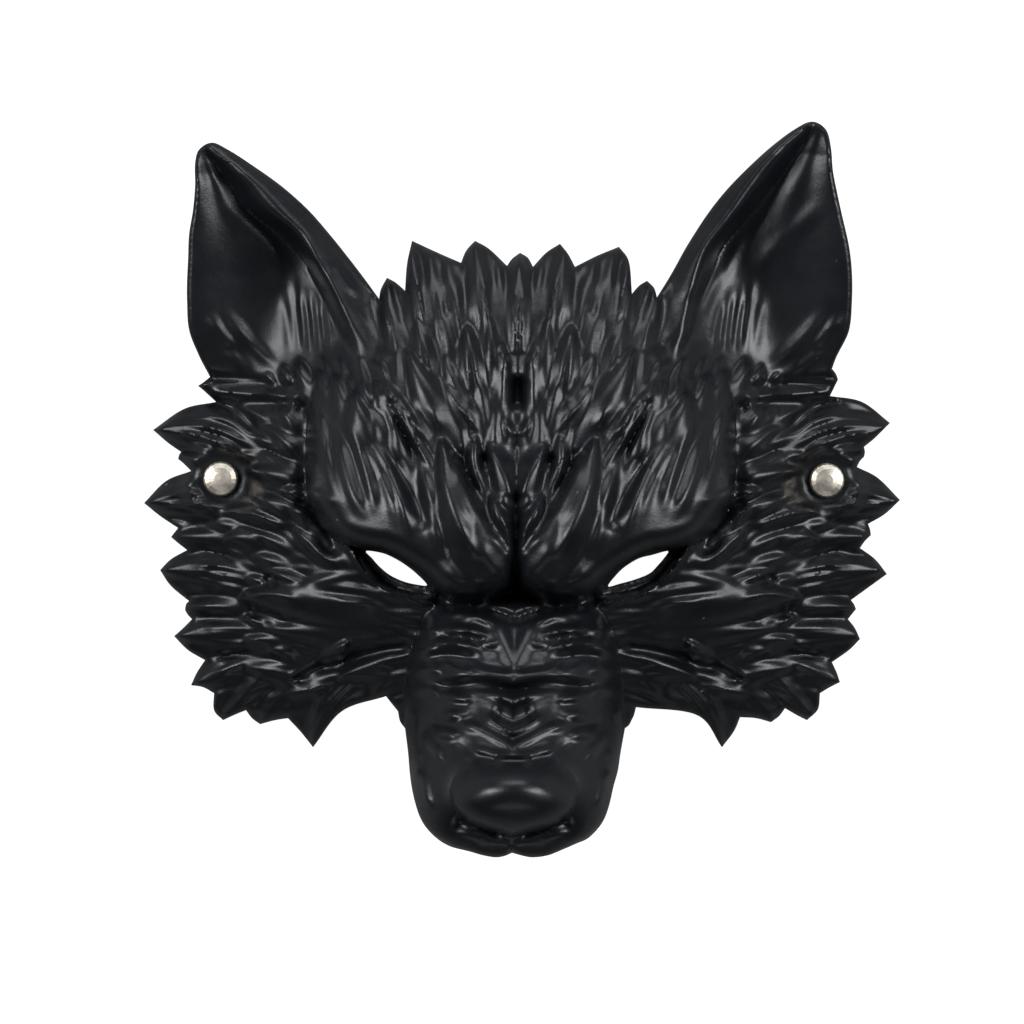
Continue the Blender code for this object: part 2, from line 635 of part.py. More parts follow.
def triangulate(loops, x, y):
    """Triangles between the loops and through the points; the loops' points come first."""
    places, edges = [], []
    for loop in loops:
        first = len(places)
        places += [Vector((float(px), float(py))) for px, py in loop]
        count = len(loop)
        edges += [(first + i, first + (i + 1) % count) for i in range(count)]
    fixed = len(places)
    places += [Vector((float(px), float(py))) for px, py in zip(x, y)]
    found, _, faces, origins, _, _ = delaunay_2d_cdt(places, edges, [], 0, 1e-6)
    if len(found) != len(places):
        raise ValueError("the outline crosses itself or two points coincide")
    order = [origin[0] for origin in origins]
    flat = np.array([tuple(place) for place in places])
    triangles = np.array([[order[i] for i in face] for face in faces])
    middles = flat[triangles].mean(axis=1)
    keep = inside(middles[:, 0], middles[:, 1], loops[0])
    for loop in loops[1:]:
        keep &= ~inside(middles[:, 0], middles[:, 1], loop)
    return flat, fixed, triangles[keep]


def lifted(x, y, height):
    """Real places of drawn ones: what is nearer the viewer is drawn larger than it is."""
    nearness = 1 - height / VIEW_DISTANCE
    return np.stack(((x - VIEW_X) * UNIT_X * nearness, (VIEW_Y - y) * UNIT_Y * nearness, height), axis=-1)


def rim_back(x, y, front):
    """Height of the edge's back: one wall behind the front, and the muzzle's side edges' own height."""
    back = np.maximum(front - EDGE_WALL, 0)
    edge = smooth_table([row[:4] for row in MUZZLE_SECTIONS], y)[..., 2] * MUZZLE_REACH
    muzzle = (y > 727) & (np.abs(x - axis(y)) < 118)
    return np.where(muzzle, np.minimum(edge, back), back)


def shell_loops():
    """The outline, both eye openings and both rivet holes."""
    spacing = RIM_POINT_SPACING / UNIT_X
    eyes = [np.array(smooth_run(eye, spacing, closed=True)) for eye in (LEFT_EYE, RIGHT_EYE)]
    holes = [circle(place, RIVET_HOLE_RADIUS, 12) for place in RIVET_PLACES]
    return [outline(spacing)] + eyes + holes


def build_shell(collection, material):
    """The moulded shell: relief front, smooth back and the edges between them."""
    loops = shell_loops()
    x, y = spread_points(loops, ROW_SPACING, COLUMN_SPACING)
    front_flat, fixed, front_faces = triangulate(loops, x, y)
    x, y = spread_points(loops, BACK_SPACING, BACK_SPACING)
    back_flat, _, back_faces = triangulate(loops, x, y)
    front_z = front_height(front_flat[:, 0], front_flat[:, 1])
    form_z = form_height(back_flat[:, 0], back_flat[:, 1])
    back_z = np.maximum(sample(back_field(3), back_flat[:, 0], back_flat[:, 1]), 0)
    rim = slice(0, fixed)
    back_z[rim] = rim_back(back_flat[rim, 0], back_flat[rim, 1], form_z[rim])
    back_z = level_pads(back_flat[:, 0], back_flat[:, 1], back_z, WALL)
    front_z[rim] = np.maximum(front_z[rim], back_z[rim] + 0.6 * WALL)
    front_z = level_pads(front_flat[:, 0], front_flat[:, 1], front_z, 0)
    front = lifted(front_flat[:, 0], front_flat[:, 1], front_z)
    back = lifted(back_flat[:, 0], back_flat[:, 1], back_z)
    mesh = bmesh.new()
    tops = [mesh.verts.new(place) for place in front]
    bottoms = [mesh.verts.new(place) for place in back]
    for face in front_faces:
        mesh.faces.new([tops[i] for i in face])
    for face in back_faces:
        mesh.faces.new([bottoms[i] for i in face])
    first = 0
    for loop in loops:
        count = len(loop)
        for i in range(count):
            a, b = first + i, first + (i + 1) % count
            mesh.faces.new((tops[a], tops[b], bottoms[b], bottoms[a]))
        first += count
    bmesh.ops.recalc_face_normals(mesh, faces=mesh.faces[:])
    bmesh.ops.triangulate(mesh, faces=[face for face in mesh.faces if len(face.verts) > 3])
    return finish_object("mask_shell", mesh, collection, material, 40)


def finish_object(name, mesh, collection, material, sharp_degrees):
    """A named object from a closed mesh with outward faces."""
    data = bpy.data.meshes.new(name)
    mesh.to_mesh(data)
    mesh.free()
    data.polygons.foreach_set("use_smooth", [True] * len(data.polygons))
    data.set_sharp_from_angle(angle=math.radians(sharp_degrees))
    data.materials.append(material)
    item = bpy.data.objects.new(name, data)
    collection.objects.link(item)
    return item


def turned(name, profile, centre, collection, material, steps=20):
    """A solid of revolution about the vertical line through centre, from a profile of radius, height."""
    mesh = bmesh.new()
    places = [mesh.verts.new((centre[0] + radius, centre[1], height)) for radius, height in profile]
    edges = [mesh.edges.new(pair) for pair in zip(places, places[1:])]
    bmesh.ops.spin(mesh, geom=places + edges, cent=(centre[0], centre[1], 0), axis=(0, 0, 1),
                   angle=2 * math.pi, steps=steps, use_merge=True, use_duplicate=False)
    bmesh.ops.remove_doubles(mesh, verts=mesh.verts[:], dist=0.00002)
    bmesh.ops.recalc_face_normals(mesh, faces=mesh.faces[:])
    return finish_object(name, mesh, collection, material, 35)


def build_rivets(collection, cap_material, back_material):
    """A domed cap on each side's pad and, behind it, a flange whose post passes through the shell."""
    for side, place in zip(SIDE_NAMES, RIVET_PLACES):
        level = rivet_level(place)
        centre = lifted(np.array(place[0]), np.array(place[1]), np.array(level))
        base = level + CLEARANCE
        crown = base + RIVET_CAP_RIM + RIVET_CAP_RISE
        cap = [(0.0, base), (RIVET_CAP_RADIUS - 0.0003, base), (RIVET_CAP_RADIUS, base + 0.0003),
               (RIVET_CAP_RADIUS, base + RIVET_CAP_RIM)]
        for turn in (25, 50, 70):
            angle = math.radians(turn)
            cap.append((RIVET_CAP_RADIUS * math.cos(angle),
                        base + RIVET_CAP_RIM + RIVET_CAP_RISE * math.sin(angle)))
        cap.append((0.0, crown))
        turned("rivet_cap_" + side, cap, centre, collection, cap_material)
        top = level
        behind = level - WALL - CLEARANCE - 0.0002
        back = [(0.0, top), (RIVET_POST_RADIUS, top), (RIVET_POST_RADIUS, behind),
                (RIVET_BACK_RADIUS, behind), (RIVET_BACK_RADIUS, behind - RIVET_BACK_THICKNESS),
                (0.0, behind - RIVET_BACK_THICKNESS)]
        turned("rivet_back_" + side, back, centre, collection, back_material)


def principled(name, colour, roughness, metallic):
    """A material of one plain Principled surface."""
    material = bpy.data.materials.new(name)
    material.use_nodes = True
    shader = material.node_tree.nodes.get("Principled BSDF")
    shader.inputs["Base Color"].default_value = (*colour, 1.0)
    shader.inputs["Roughness"].default_value = roughness
    shader.inputs["Metallic"].default_value = metallic
    material.diffuse_color = (*colour, 1.0)
    return material


def centre_over_origin(items):
    """The whole mask moved so that the origin is under the middle of its bounds."""
    places = np.array([tuple(vertex.co) for item in items for vertex in item.data.vertices])
    low, high = places.min(axis=0), places.max(axis=0)
    shift = Matrix.Translation((-(low[0] + high[0]) / 2, -(low[1] + high[1]) / 2, -low[2]))
    for item in items:
        item.data.transform(shift)


def clear_scene():
    for item in list(bpy.data.objects):
        bpy.data.objects.remove(item, do_unlink=True)


def main():
    clear_scene()
    collection = bpy.data.collections.new("werewolf_mask")
    bpy.context.scene.collection.children.link(collection)
    black = principled("black_foam", (0.020, 0.021, 0.024), 0.42, 0.0)
    nickel = principled("nickel_cap", (0.78, 0.76, 0.72), 0.18, 1.0)
    steel = principled("steel_back", (0.55, 0.55, 0.55), 0.35, 1.0)
    build_shell(collection, black)
    build_rivets(collection, nickel, steel)
    centre_over_origin(collection.objects)


main()
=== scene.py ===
"""Werewolf half mask in black moulded foam: its sculpted skin, rivets, stage, lights and camera.

The shell is worked out on the front view's drawing, as in the model's frame: x to the right and y down
the sheet, 756 units over the mask's width. The left half's tables are mirrored to the right.
"""

import math

import bmesh
import bpy
import numpy as np
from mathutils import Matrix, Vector
from mathutils.geometry import delaunay_2d_cdt


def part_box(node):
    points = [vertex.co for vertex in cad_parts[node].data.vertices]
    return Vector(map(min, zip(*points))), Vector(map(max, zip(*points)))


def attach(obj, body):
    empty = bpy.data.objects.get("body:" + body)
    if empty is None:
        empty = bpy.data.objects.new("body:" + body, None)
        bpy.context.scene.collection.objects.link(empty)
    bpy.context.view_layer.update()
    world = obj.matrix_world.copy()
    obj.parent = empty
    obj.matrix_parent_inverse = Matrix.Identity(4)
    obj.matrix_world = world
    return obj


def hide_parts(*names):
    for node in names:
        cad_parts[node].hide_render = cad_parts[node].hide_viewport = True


bl_info = {
    "name": "Werewolf Half Mask",
    "version": (1, 0, 0),
    "blender": (4, 5, 0),
    "location": "3D View > Sidebar > Mask",
    "description": "Builds a black moulded wolf half mask with sculpted fur, its rivets and a studio stage",
    "category": "Add Mesh",
}

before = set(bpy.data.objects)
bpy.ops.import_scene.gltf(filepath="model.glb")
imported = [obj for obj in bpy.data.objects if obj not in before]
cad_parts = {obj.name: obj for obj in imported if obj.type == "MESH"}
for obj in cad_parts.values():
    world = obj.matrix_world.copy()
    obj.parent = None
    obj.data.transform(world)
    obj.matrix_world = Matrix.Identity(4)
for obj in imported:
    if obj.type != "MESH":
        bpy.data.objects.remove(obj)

# The shell's own sizes, in metres, as in the model.
MASK_WIDTH = 0.220
MASK_HEIGHT = 0.214
FACE_DEPTH = 0.056
MUZZLE_REACH = 0.098
WALL = 0.0032
EDGE_WALL = 0.0034
BROW_RISE = 0.0125
LOCK_RISE = 0.0034
NOSE_RISE = 0.0105
TRENCH_DEPTH = 0.0045
SOCKET_DEPTH = 0.0060
VIEW_DISTANCE = 1.10

RIVET_HOLE_RADIUS = 0.0023
RIVET_PAD_RADIUS = 0.0062
CLEARANCE = 0.0003

# The drawing: its extent in units, the place that the viewer faces, and the face's middle line, which
# leans a little and has the right half drawn slightly wider than the left.
SHEET = 1024.0
DRAWN_WIDTH = 756.5
DRAWN_HEIGHT = 735.0
VIEW_X = 512.0
VIEW_Y = 512.0
AXIS_X = 516.0
AXIS_Y = 510.0
LEAN = 0.0133
RIGHT_STRETCH = 1.04
UNIT_X = MASK_WIDTH / DRAWN_WIDTH
UNIT_Y = MASK_HEIGHT / DRAWN_HEIGHT

# Teeth along the outline from the crown's middle down each side: where a tooth starts, the middle of
# its first side, its tip and the middle of its second side, each as x, y.
LEFT_CROWN = (
    (533, 267, 528, 258, 520, 253, 512, 259),
    (507, 266, 489, 249, 475, 241, 466, 251),
    (461, 263, 438, 253, 412, 241, 407, 264),
    (405, 291, 396, 283, 387, 278, 381, 289),
)
LEFT_TEETH = (
    (210, 377, 204, 382, 198, 386, 204, 391),
    (216, 402, 184, 409, 153, 430, 168, 443),
    (181, 452, 179, 455, 178, 459, 184, 464),
    (191, 471, 166, 481, 144, 503, 160, 516),
    (178, 528, 174, 533, 171, 537, 178, 543),
    (187, 550, 171, 559, 160, 570, 171, 586),
    (189, 601, 186, 604, 185, 610, 188, 615),
    (192, 619, 183, 628, 174, 636, 188, 650),
    (205, 660, 197, 672, 191, 685, 203, 687),
    (214, 693, 214, 710, 223, 720, 236, 714),
    (246, 710, 252, 718, 260, 724, 275, 720),
    (288, 718, 301, 732, 313, 747, 342, 711),
    (386, 696, 393, 705, 398, 711, 400, 721),
)
RIGHT_CROWN = (
    (533, 267, 546, 253, 560, 244, 568, 254),
    (575, 267, 597, 256, 619, 247, 629, 262),
    (632, 294, 639, 286, 647, 281, 654, 288),
)
RIGHT_TEETH = (
    (832, 369, 836, 374, 838, 380, 834, 388),
    (830, 396, 862, 402, 890, 423, 875, 438),
    (864, 447, 865, 452, 864, 457, 860, 461),
    (857, 467, 878, 478, 900, 500, 885, 514),
    (868, 524, 870, 529, 871, 535, 865, 541),
    (860, 548, 875, 559, 887, 574, 869, 587),
    (851, 600, 854, 604, 856, 609, 852, 614),
    (848, 619, 855, 628, 860, 639, 849, 650),
    (832, 662, 837, 673, 840, 682, 830, 687),
    (820, 693, 818, 709, 807, 720, 797, 715),
    (785, 708, 779, 716, 771, 722, 756, 718),
    (740, 717, 734, 731, 722, 747, 697, 715),
    (636, 707, 634, 715, 632, 719, 629, 725),
)
# Ears by level from the tip down: y, then the x of the outer edge, of the crease at the foot of the
# roll, of the roll's crest and of the inner edge.
LEFT_EAR = (
    (143, 212, 212, 212, 212),
    (150, 199, 207, 212, 228),
    (164, 195, 216, 234, 250),
    (186, 195, 232, 258, 281),
    (210, 193, 249, 279, 308),
    (235, 189, 280, 305, 330),
    (260, 188, 302, 319, 350),
    (281, 187, 313, 331, 366),
    (302, 187, 322, 342, 380),
    (330, 189, 331, 353, 392),
    (356, 199, 337, 364, 400),
    (377, 210, 341, 372, 404),
    (400, 214, 345, 378, 408),
)
RIGHT_EAR = (
    (122, 812, 812, 812, 812),
    (130, 826, 812, 799, 794),
    (148, 831, 800, 779, 770),
    (171, 833, 785, 759, 745),
    (192, 837, 769, 744, 725),
    (215, 842, 750, 728, 707),
    (246, 849, 724, 705, 687),
    (273, 852, 714, 694, 672),
    (302, 852, 705, 686, 657),
    (331, 849, 700, 680, 645),
    (356, 837, 697, 673, 638),
    (372, 831, 694, 668, 634),
    (400, 826, 690, 662, 630),
)
# An ear's heights from its tip to its base: outer edge, cup floor, crease, crest and inner edge.
EAR_HEIGHTS = (
    (0.00, 0.44, 0.44, 0.44, 0.46, 0.45),
    (0.12, 0.44, 0.40, 0.37, 0.50, 0.45),
    (0.45, 0.38, 0.33, 0.29, 0.56, 0.49),
    (0.75, 0.32, 0.29, 0.30, 0.61, 0.55),
    (1.00, 0.22, 0.28, 0.40, 0.66, 0.62),
)
# The muzzle's lower edge, left and right of the middle notch.
LIP_LEFT = ((450, 846), (469, 851), (483, 855), (496, 857), (505, 855.5))
LIP_RIGHT = ((525, 856), (534, 857), (548, 855), (562, 849.5), (577, 843))
LIP_NOTCH = (512, 852.5)
# Muzzle sections down the drawing: y, half width, top height, side edge height, then the free side
# edges' x, left and right.
MUZZLE_SECTIONS = (
    (560, 62, 0.38, 0.20, 0, 0),
    (596, 76, 0.48, 0.30, 0, 0),
    (620, 92, 0.56, 0.32, 0, 0),
    (650, 103, 0.62, 0.30, 0, 0),
    (680, 108, 0.675, 0.26, 0, 0),
    (705, 109, 0.73, 0.22, 0, 0),
    (728, 109, 0.785, 0.21, 405, 625),
    (752, 107, 0.84, 0.28, 408, 620.7),
    (770, 105, 0.875, 0.37, 409.5, 618),
    (786, 103, 0.89, 0.46, 411.5, 613.6),
    (802, 99, 0.89, 0.55, 415, 610),
    (816, 94, 0.88, 0.62, 419.6, 605.5),
    (827, 87, 0.865, 0.68, 426, 599),
    (838, 76, 0.85, 0.72, 436.7, 588),
    (850, 56, 0.82, 0.75, 0, 0),
    (862, 40, 0.79, 0.76, 0, 0),
)
MUZZLE_SQUARENESS = 2.7

# Reach of the ruff's tips from the middle line by level, and the face's height at shares of it.
RUFF_REACH = (
    (230, 330), (340, 345), (400, 358), (430, 366), (500, 374), (570, 358), (636, 343), (685, 326),
    (712, 300), (730, 262), (747, 206), (780, 200),
)
FACE_STATIONS = (0.0, 0.15, 0.30, 0.45, 0.58, 0.72, 0.88, 1.0, 1.1)
FACE_SECTIONS = (
    (225, 0.44, 0.43, 0.40, 0.34, 0.27, 0.21, 0.13, 0.055, 0.055),
    (280, 0.62, 0.61, 0.56, 0.46, 0.35, 0.24, 0.13, 0.055, 0.055),
    (340, 0.77, 0.76, 0.71, 0.59, 0.43, 0.28, 0.14, 0.055, 0.055),
    (400, 0.86, 0.86, 0.82, 0.71, 0.52, 0.32, 0.15, 0.055, 0.055),
    (460, 0.89, 0.89, 0.86, 0.76, 0.55, 0.34, 0.16, 0.055, 0.055),
    (520, 0.89, 0.89, 0.86, 0.75, 0.55, 0.35, 0.16, 0.055, 0.055),
    (580, 0.85, 0.84, 0.79, 0.67, 0.52, 0.35, 0.16, 0.055, 0.055),
    (640, 0.74, 0.71, 0.64, 0.53, 0.43, 0.31, 0.15, 0.055, 0.055),
    (700, 0.55, 0.53, 0.47, 0.38, 0.31, 0.23, 0.12, 0.055, 0.055),
    (747, 0.35, 0.33, 0.30, 0.24, 0.19, 0.14, 0.09, 0.055, 0.055),
)

LEAST_HEIGHT = 0.057

# Lower and outer edge of the left brow, from the crease between the brows round to the temple.
BROW_EDGE = (
    (517, 585), (498, 599), (475, 602), (456, 600), (433, 588), (424, 578), (405, 565), (382, 553),
    (356, 548), (331, 537), (315, 517), (306, 485), (306, 445), (311, 400), (330, 350), (360, 300),
)
# The recess round the left eye opening, between the brow and the lower lid.
SOCKET = (
    (345, 542), (368, 546), (384, 549), (405, 560), (424, 574), (440, 590), (452, 601), (432, 602),
    (412, 601), (394, 596), (376, 585), (362, 568),
)
BROW_TOP = ((420, 200), (540, 200), (540, 590))
# The eye opening's edge on each side, from its outer corner along the top.
LEFT_EYE = (
    (366, 551), (382, 553), (395, 558.5), (407, 566), (418, 575), (427, 585),
    (417, 584.5), (404, 581.5), (390, 575), (379, 566), (372, 558),
)
RIGHT_EYE = (
    (668, 551), (652, 555), (640, 558), (629, 564), (619, 572), (608, 586),
    (620, 583.5), (636, 579), (650, 573), (658, 565), (664, 558),
)

# Locks of fur on the left half: root, bend and tip as x, y, then the half width, the share of the
# lock rise at the tip and the number of strands.
FOREHEAD_LOCKS = (
    (393, 384, 391, 330, 387, 279, 14, 1.35, 3),
    (434, 384, 414, 310, 411, 242, 17, 1.5, 3),
    (452, 376, 436, 310, 428, 248, 14, 1.2, 3),
    (464, 366, 453, 310, 446, 253, 14, 1.2, 3),
    (486, 360, 484, 300, 474, 241, 19, 1.5, 3),
    (503, 356, 502, 306, 498, 262, 11, 1.05, 3),
    (519, 366, 519, 306, 520, 253, 17, 1.5, 3),
    (476, 408, 471, 366, 467, 326, 16, 1.8, 3),
    (494, 400, 492, 356, 490, 318, 12, 1.35, 3),
    (454, 382, 449, 346, 447, 312, 12, 1.2, 3),
    (432, 392, 424, 356, 417, 321, 15, 1.5, 3),
    (400, 432, 396, 392, 397, 350, 12, 0.8, 1),
    (464, 452, 424, 400, 408, 350, 21, 1.4, 1),
    (474, 422, 455, 390, 444, 356, 13, 1.0, 2),
    (490, 444, 464, 416, 447, 387, 14, 1.2, 2),
    (492, 450, 485, 412, 478, 374, 12, 1.0, 2),
    (448, 486, 402, 434, 385, 380, 19, 1.5, 2),
    (450, 490, 426, 440, 412, 396, 13, 1.0, 2),
    (500, 436, 504, 388, 502, 345, 12, 1.2, 2),
    (369, 448, 355, 420, 355, 393, 17, 1.3, 1),
)
TEMPLE_LOCKS = (
    (392, 420, 381, 404, 377, 380, 10, 0.9, 1),
    (374, 416, 366, 400, 361, 380, 10, 0.9, 1),
    (346, 424, 338, 400, 336, 375, 12, 1.0, 1),
    (331, 408, 322, 389, 318, 370, 10, 0.9, 1),
    (313, 402, 303, 384, 296, 364, 10, 0.9, 1),
    (300, 410, 290, 390, 283, 366, 9, 0.8, 1),
    (394, 396, 385, 380, 379, 362, 9, 0.8, 1),
    (302, 436, 288, 424, 280, 404, 10, 0.9, 1),
    (308, 456, 290, 450, 272, 430, 11, 0.9, 1),
    (298, 450, 282, 436, 265, 428, 9, 0.8, 1),
    (302, 474, 282, 466, 262, 452, 10, 0.8, 1),
)
BROW_LOCKS = (
    (505, 596, 462, 530, 441, 440, 30, 1.5, 1),
    (514, 512, 502, 480, 490, 445, 12, 1.4, 1),
    (500, 474, 492, 444, 497, 412, 9, 0.8, 1),
    (484, 506, 468, 474, 476, 434, 11, 1.0, 1),
    (515, 568, 504, 532, 491, 496, 12, 1.2, 1),
)
RUFF_LOCKS = (
    (286, 406, 244, 397, 199, 386, 20, 1.0, 1),
    (264, 462, 222, 424, 154, 430, 27, 1.5, 3),
    (252, 474, 215, 461, 180, 457, 14, 0.9, 1),
    (264, 508, 205, 492, 145, 503, 28, 1.5, 3),
    (252, 542, 212, 535, 172, 537, 12, 0.9, 1),
    (264, 588, 212, 568, 161, 570, 23, 1.4, 4),
    (252, 608, 216, 603, 186, 609, 12, 1.0, 1),
    (268, 638, 222, 631, 175, 636, 22, 1.4, 4),
    (264, 666, 226, 668, 192, 685, 17, 1.2, 3),
    (286, 682, 246, 692, 223, 719, 17, 1.2, 3),
    (306, 692, 276, 702, 261, 723, 15, 1.1, 3),
    (368, 676, 330, 698, 313, 746, 22, 1.4, 3),
    (404, 670, 386, 684, 372, 696, 12, 0.9, 1),
)
CHEEK_LOCKS = (
    (310, 484, 278, 474, 248, 470, 14, 1.5, 1),
    (334, 508, 304, 492, 280, 491, 12, 1.4, 1),
    (262, 464, 250, 453, 237, 457, 8, 1.0, 1),
    (262, 494, 248, 483, 238, 484, 8, 0.8, 1),
    (296, 534, 256, 508, 224, 512, 13, 1.4, 2),
    (302, 524, 280, 507, 256, 497, 10, 1.1, 1),
    (254, 536, 230, 521, 208, 526, 10, 1.0, 1),
    (274, 556, 248, 530, 225, 540, 15, 1.4, 1),
    (302, 558, 275, 541, 250, 531, 9, 1.0, 1),
    (338, 556, 312, 518, 290, 508, 12, 1.3, 2),
    (334, 564, 310, 546, 296, 530, 10, 1.1, 1),
    (348, 570, 325, 559, 303, 541, 10, 1.0, 1),
    (356, 574, 330, 581, 303, 583, 10, 1.1, 1),
    (322, 596, 295, 581, 268, 570, 10, 1.4, 1),
    (298, 574, 276, 561, 252, 556, 10, 1.0, 1),
    (280, 592, 264, 581, 246, 578, 9, 0.9, 1),
    (404, 622, 318, 596, 241, 598, 31, 1.8, 1),
    (400, 606, 350, 598, 318, 604, 11, 1.0, 1),
    (398, 640, 330, 634, 262, 628, 17, 1.1, 1),
    (302, 634, 268, 622, 243, 618, 10, 1.0, 1),
    (308, 650, 274, 637, 246, 640, 11, 1.1, 1),
    (316, 670, 338, 656, 347, 641, 14, 1.5, 1),
    (302, 662, 286, 649, 268, 650, 11, 1.1, 1),
    (318, 684, 280, 669, 246, 668, 14, 1.2, 2),
    (342, 668, 312, 669, 288, 676, 12, 1.1, 1),
    (348, 684, 316, 687, 286, 694, 13, 1.1, 2),
    (400, 655, 362, 664, 338, 680, 11, 1.1, 1),
    (402, 678, 380, 669, 350, 677, 10, 1.0, 1),
    (404, 648, 372, 650, 345, 662, 10, 1.0, 1),
)
LOCK_TABLES = (FOREHEAD_LOCKS, TEMPLE_LOCKS, BROW_LOCKS, RUFF_LOCKS, CHEEK_LOCKS)
# Ridges (positive share) and creases (negative) on the left half: start, middle and end as x, y, then
# the half width and the share of the strand depth.
BROW_LINES = (
    (318, 396, 314, 458, 350, 530, 13, 1.8),
    (333, 420, 338, 472, 370, 530, 9, 1.6),
    (338, 412, 372, 460, 374, 520, 6, 1.8),
    (352, 430, 390, 470, 398, 535, 6, 1.4),
    (362, 432, 402, 468, 410, 550, 6, 2.0),
    (326, 400, 326, 440, 342, 480, 5, -1.0),
    (346, 430, 356, 470, 366, 510, 4, -1.0),
    (390, 446, 405, 482, 424, 523, 8, -2.6),
    (390, 408, 410, 438, 417, 470, 5, -1.8),
    (424, 470, 426, 520, 450, 570, 9, 1.5),
    (441, 450, 446, 512, 486, 572, 9, 1.8),
    (458, 522, 470, 546, 486, 566, 5, 1.0),
    (449, 458, 458, 504, 474, 524, 5, 1.4),
    (458, 456, 454, 480, 488, 530, 4, 2.2),
    (488, 530, 500, 544, 512, 560, 4, 1.8),
    (466, 452, 464, 476, 482, 500, 5, -1.8),
    (496, 444, 504, 458, 513, 505, 4, 1.8),
    (482, 452, 484, 462, 485, 470, 5, -2.6),
    (493, 496, 503, 500, 513, 508, 4, 1.4),
    (504, 417, 508, 434, 517, 432, 4, 1.6),
    (500, 515, 504, 540, 515, 575, 6, -1.4),
    (478, 540, 486, 560, 505, 580, 8, 0.9),
    (425, 566, 462, 596, 505, 584, 28, 2.6),
    (330, 520, 352, 538, 398, 548, 20, 0.8),
)
FOREHEAD_LINES = (
    (389, 384, 396, 408, 408, 428, 6, 1.4),
    (404, 396, 411, 420, 421, 441, 4, 1.6),
    (463, 400, 469, 414, 475, 429, 4, 1.4),
    (431, 403, 435, 418, 441, 430, 4, 1.2),
    (425, 262, 430, 305, 430, 352, 4, 1.2),
    (440, 264, 444, 305, 440, 350, 4, 1.2),
    (453, 266, 460, 305, 462, 345, 4, 1.1),
    (416, 266, 418, 300, 424, 330, 4, 1.0),
    (480, 262, 486, 300, 486, 336, 4, 1.2),
    (470, 270, 474, 300, 474, 322, 4, 1.0),
    (512, 275, 513, 310, 515, 350, 4, 1.2),
    (501, 348, 507, 360, 508, 372, 4, 1.6),
    (395, 300, 398, 330, 396, 360, 4, 1.0),
    (383, 300, 386, 330, 390, 362, 4, 1.0),
)
CHEEK_LINES = (
    (376, 586, 396, 600, 446, 603, 6, 2.6),
    (302, 396, 302, 440, 306, 486, 9, 2.6),
    (380, 640, 410, 630, 440, 640, 6, 1.4),
    (370, 664, 405, 652, 440, 654, 6, 1.6),
    (380, 680, 410, 672, 440, 678, 6, 1.4),
    (350, 545, 360, 570, 384, 590, 5, 1.6),
    (216, 402, 245, 410, 262, 440, 7, -3.0),
    (262, 440, 275, 460, 300, 462, 6, -2.0),
    (300, 590, 350, 591, 400, 606, 5, -1.6),
    (402, 643, 350, 656, 290, 676, 8, -3.2),
    (311, 502, 320, 530, 346, 548, 7, -2.0),
    (193, 409, 228, 412, 260, 446, 4, 1.4),
    (186, 422, 222, 424, 258, 456, 4, 1.2),
    (165, 432, 208, 428, 250, 457, 5, 1.2),
    (166, 494, 190, 489, 212, 493, 5, 1.3),
    (172, 503, 195, 500, 222, 505, 6, 1.4),
    (188, 574, 215, 558, 252, 573, 4, 1.3),
    (205, 577, 228, 572, 250, 582, 4, 1.2),
    (212, 590, 228, 584, 244, 592, 4, 1.1),
    (190, 608, 214, 605, 240, 610, 4, 1.0),
    (203, 632, 228, 628, 262, 630, 4, 1.2),
    (230, 648, 244, 640, 258, 636, 4, 1.2),
    (255, 496, 285, 498, 312, 520, 5, 2.0),
    (312, 520, 326, 536, 336, 554, 5, 1.8),
    (250, 501, 272, 506, 288, 518, 4, 1.4),
    (250, 515, 272, 519, 288, 529, 4, 1.4),
    (240, 598, 268, 585, 304, 604, 5, 1.8),
    (331, 602, 350, 604, 380, 600, 6, 1.2),
    (241, 603, 258, 618, 276, 630, 5, -1.6),
    (262, 577, 270, 580, 276, 578, 4, -2.0),
    (211, 680, 230, 666, 248, 664, 4, 1.2),
    (238, 700, 253, 680, 272, 673, 4, 1.4),
    (273, 692, 290, 682, 308, 682, 4, 1.2),
    (278, 701, 300, 692, 324, 690, 4, 1.2),
    (307, 724, 314, 704, 330, 696, 5, 1.3),
    (246, 710, 268, 692, 282, 684, 5, -1.6),
    (288, 716, 302, 700, 318, 692, 5, -1.8),
    (205, 660, 235, 652, 262, 652, 5, -1.8),
    (191, 619, 225, 617, 250, 620, 5, -1.8),
    (188, 550, 215, 550, 240, 560, 5, -1.8),
    (178, 528, 205, 526, 225, 527, 5, -1.2),
)
EAR_LINES = (
    (282, 290, 290, 326, 290, 358, 6, 0.9),
    (292, 270, 300, 320, 300, 358, 5, 1.2),
    (303, 280, 310, 322, 310, 358, 5, 1.2),
    (313, 284, 320, 322, 320, 358, 5, 1.2),
    (322, 296, 329, 326, 330, 358, 5, 1.0),
    (297, 290, 305, 325, 305, 356, 5, -1.2),
    (308, 290, 315, 325, 315, 356, 5, -1.2),
    (318, 296, 325, 328, 325, 356, 5, -1.2),
    (206, 312, 220, 332, 238, 352, 8, 1.2),
    (220, 306, 248, 346, 282, 372, 8, 1.4),
    (222, 348, 238, 362, 254, 374, 7, 1.0),
    (224, 200, 258, 228, 294, 276, 12, 0.8),
    (336, 290, 352, 322, 372, 358, 9, 1.2),
    (318, 262, 338, 288, 348, 330, 8, 1.0),
    (352, 300, 366, 330, 384, 352, 7, 0.8),
    (300, 232, 316, 256, 326, 290, 7, 0.8),
    (334, 262, 342, 282, 362, 300, 6, 0.7),
)
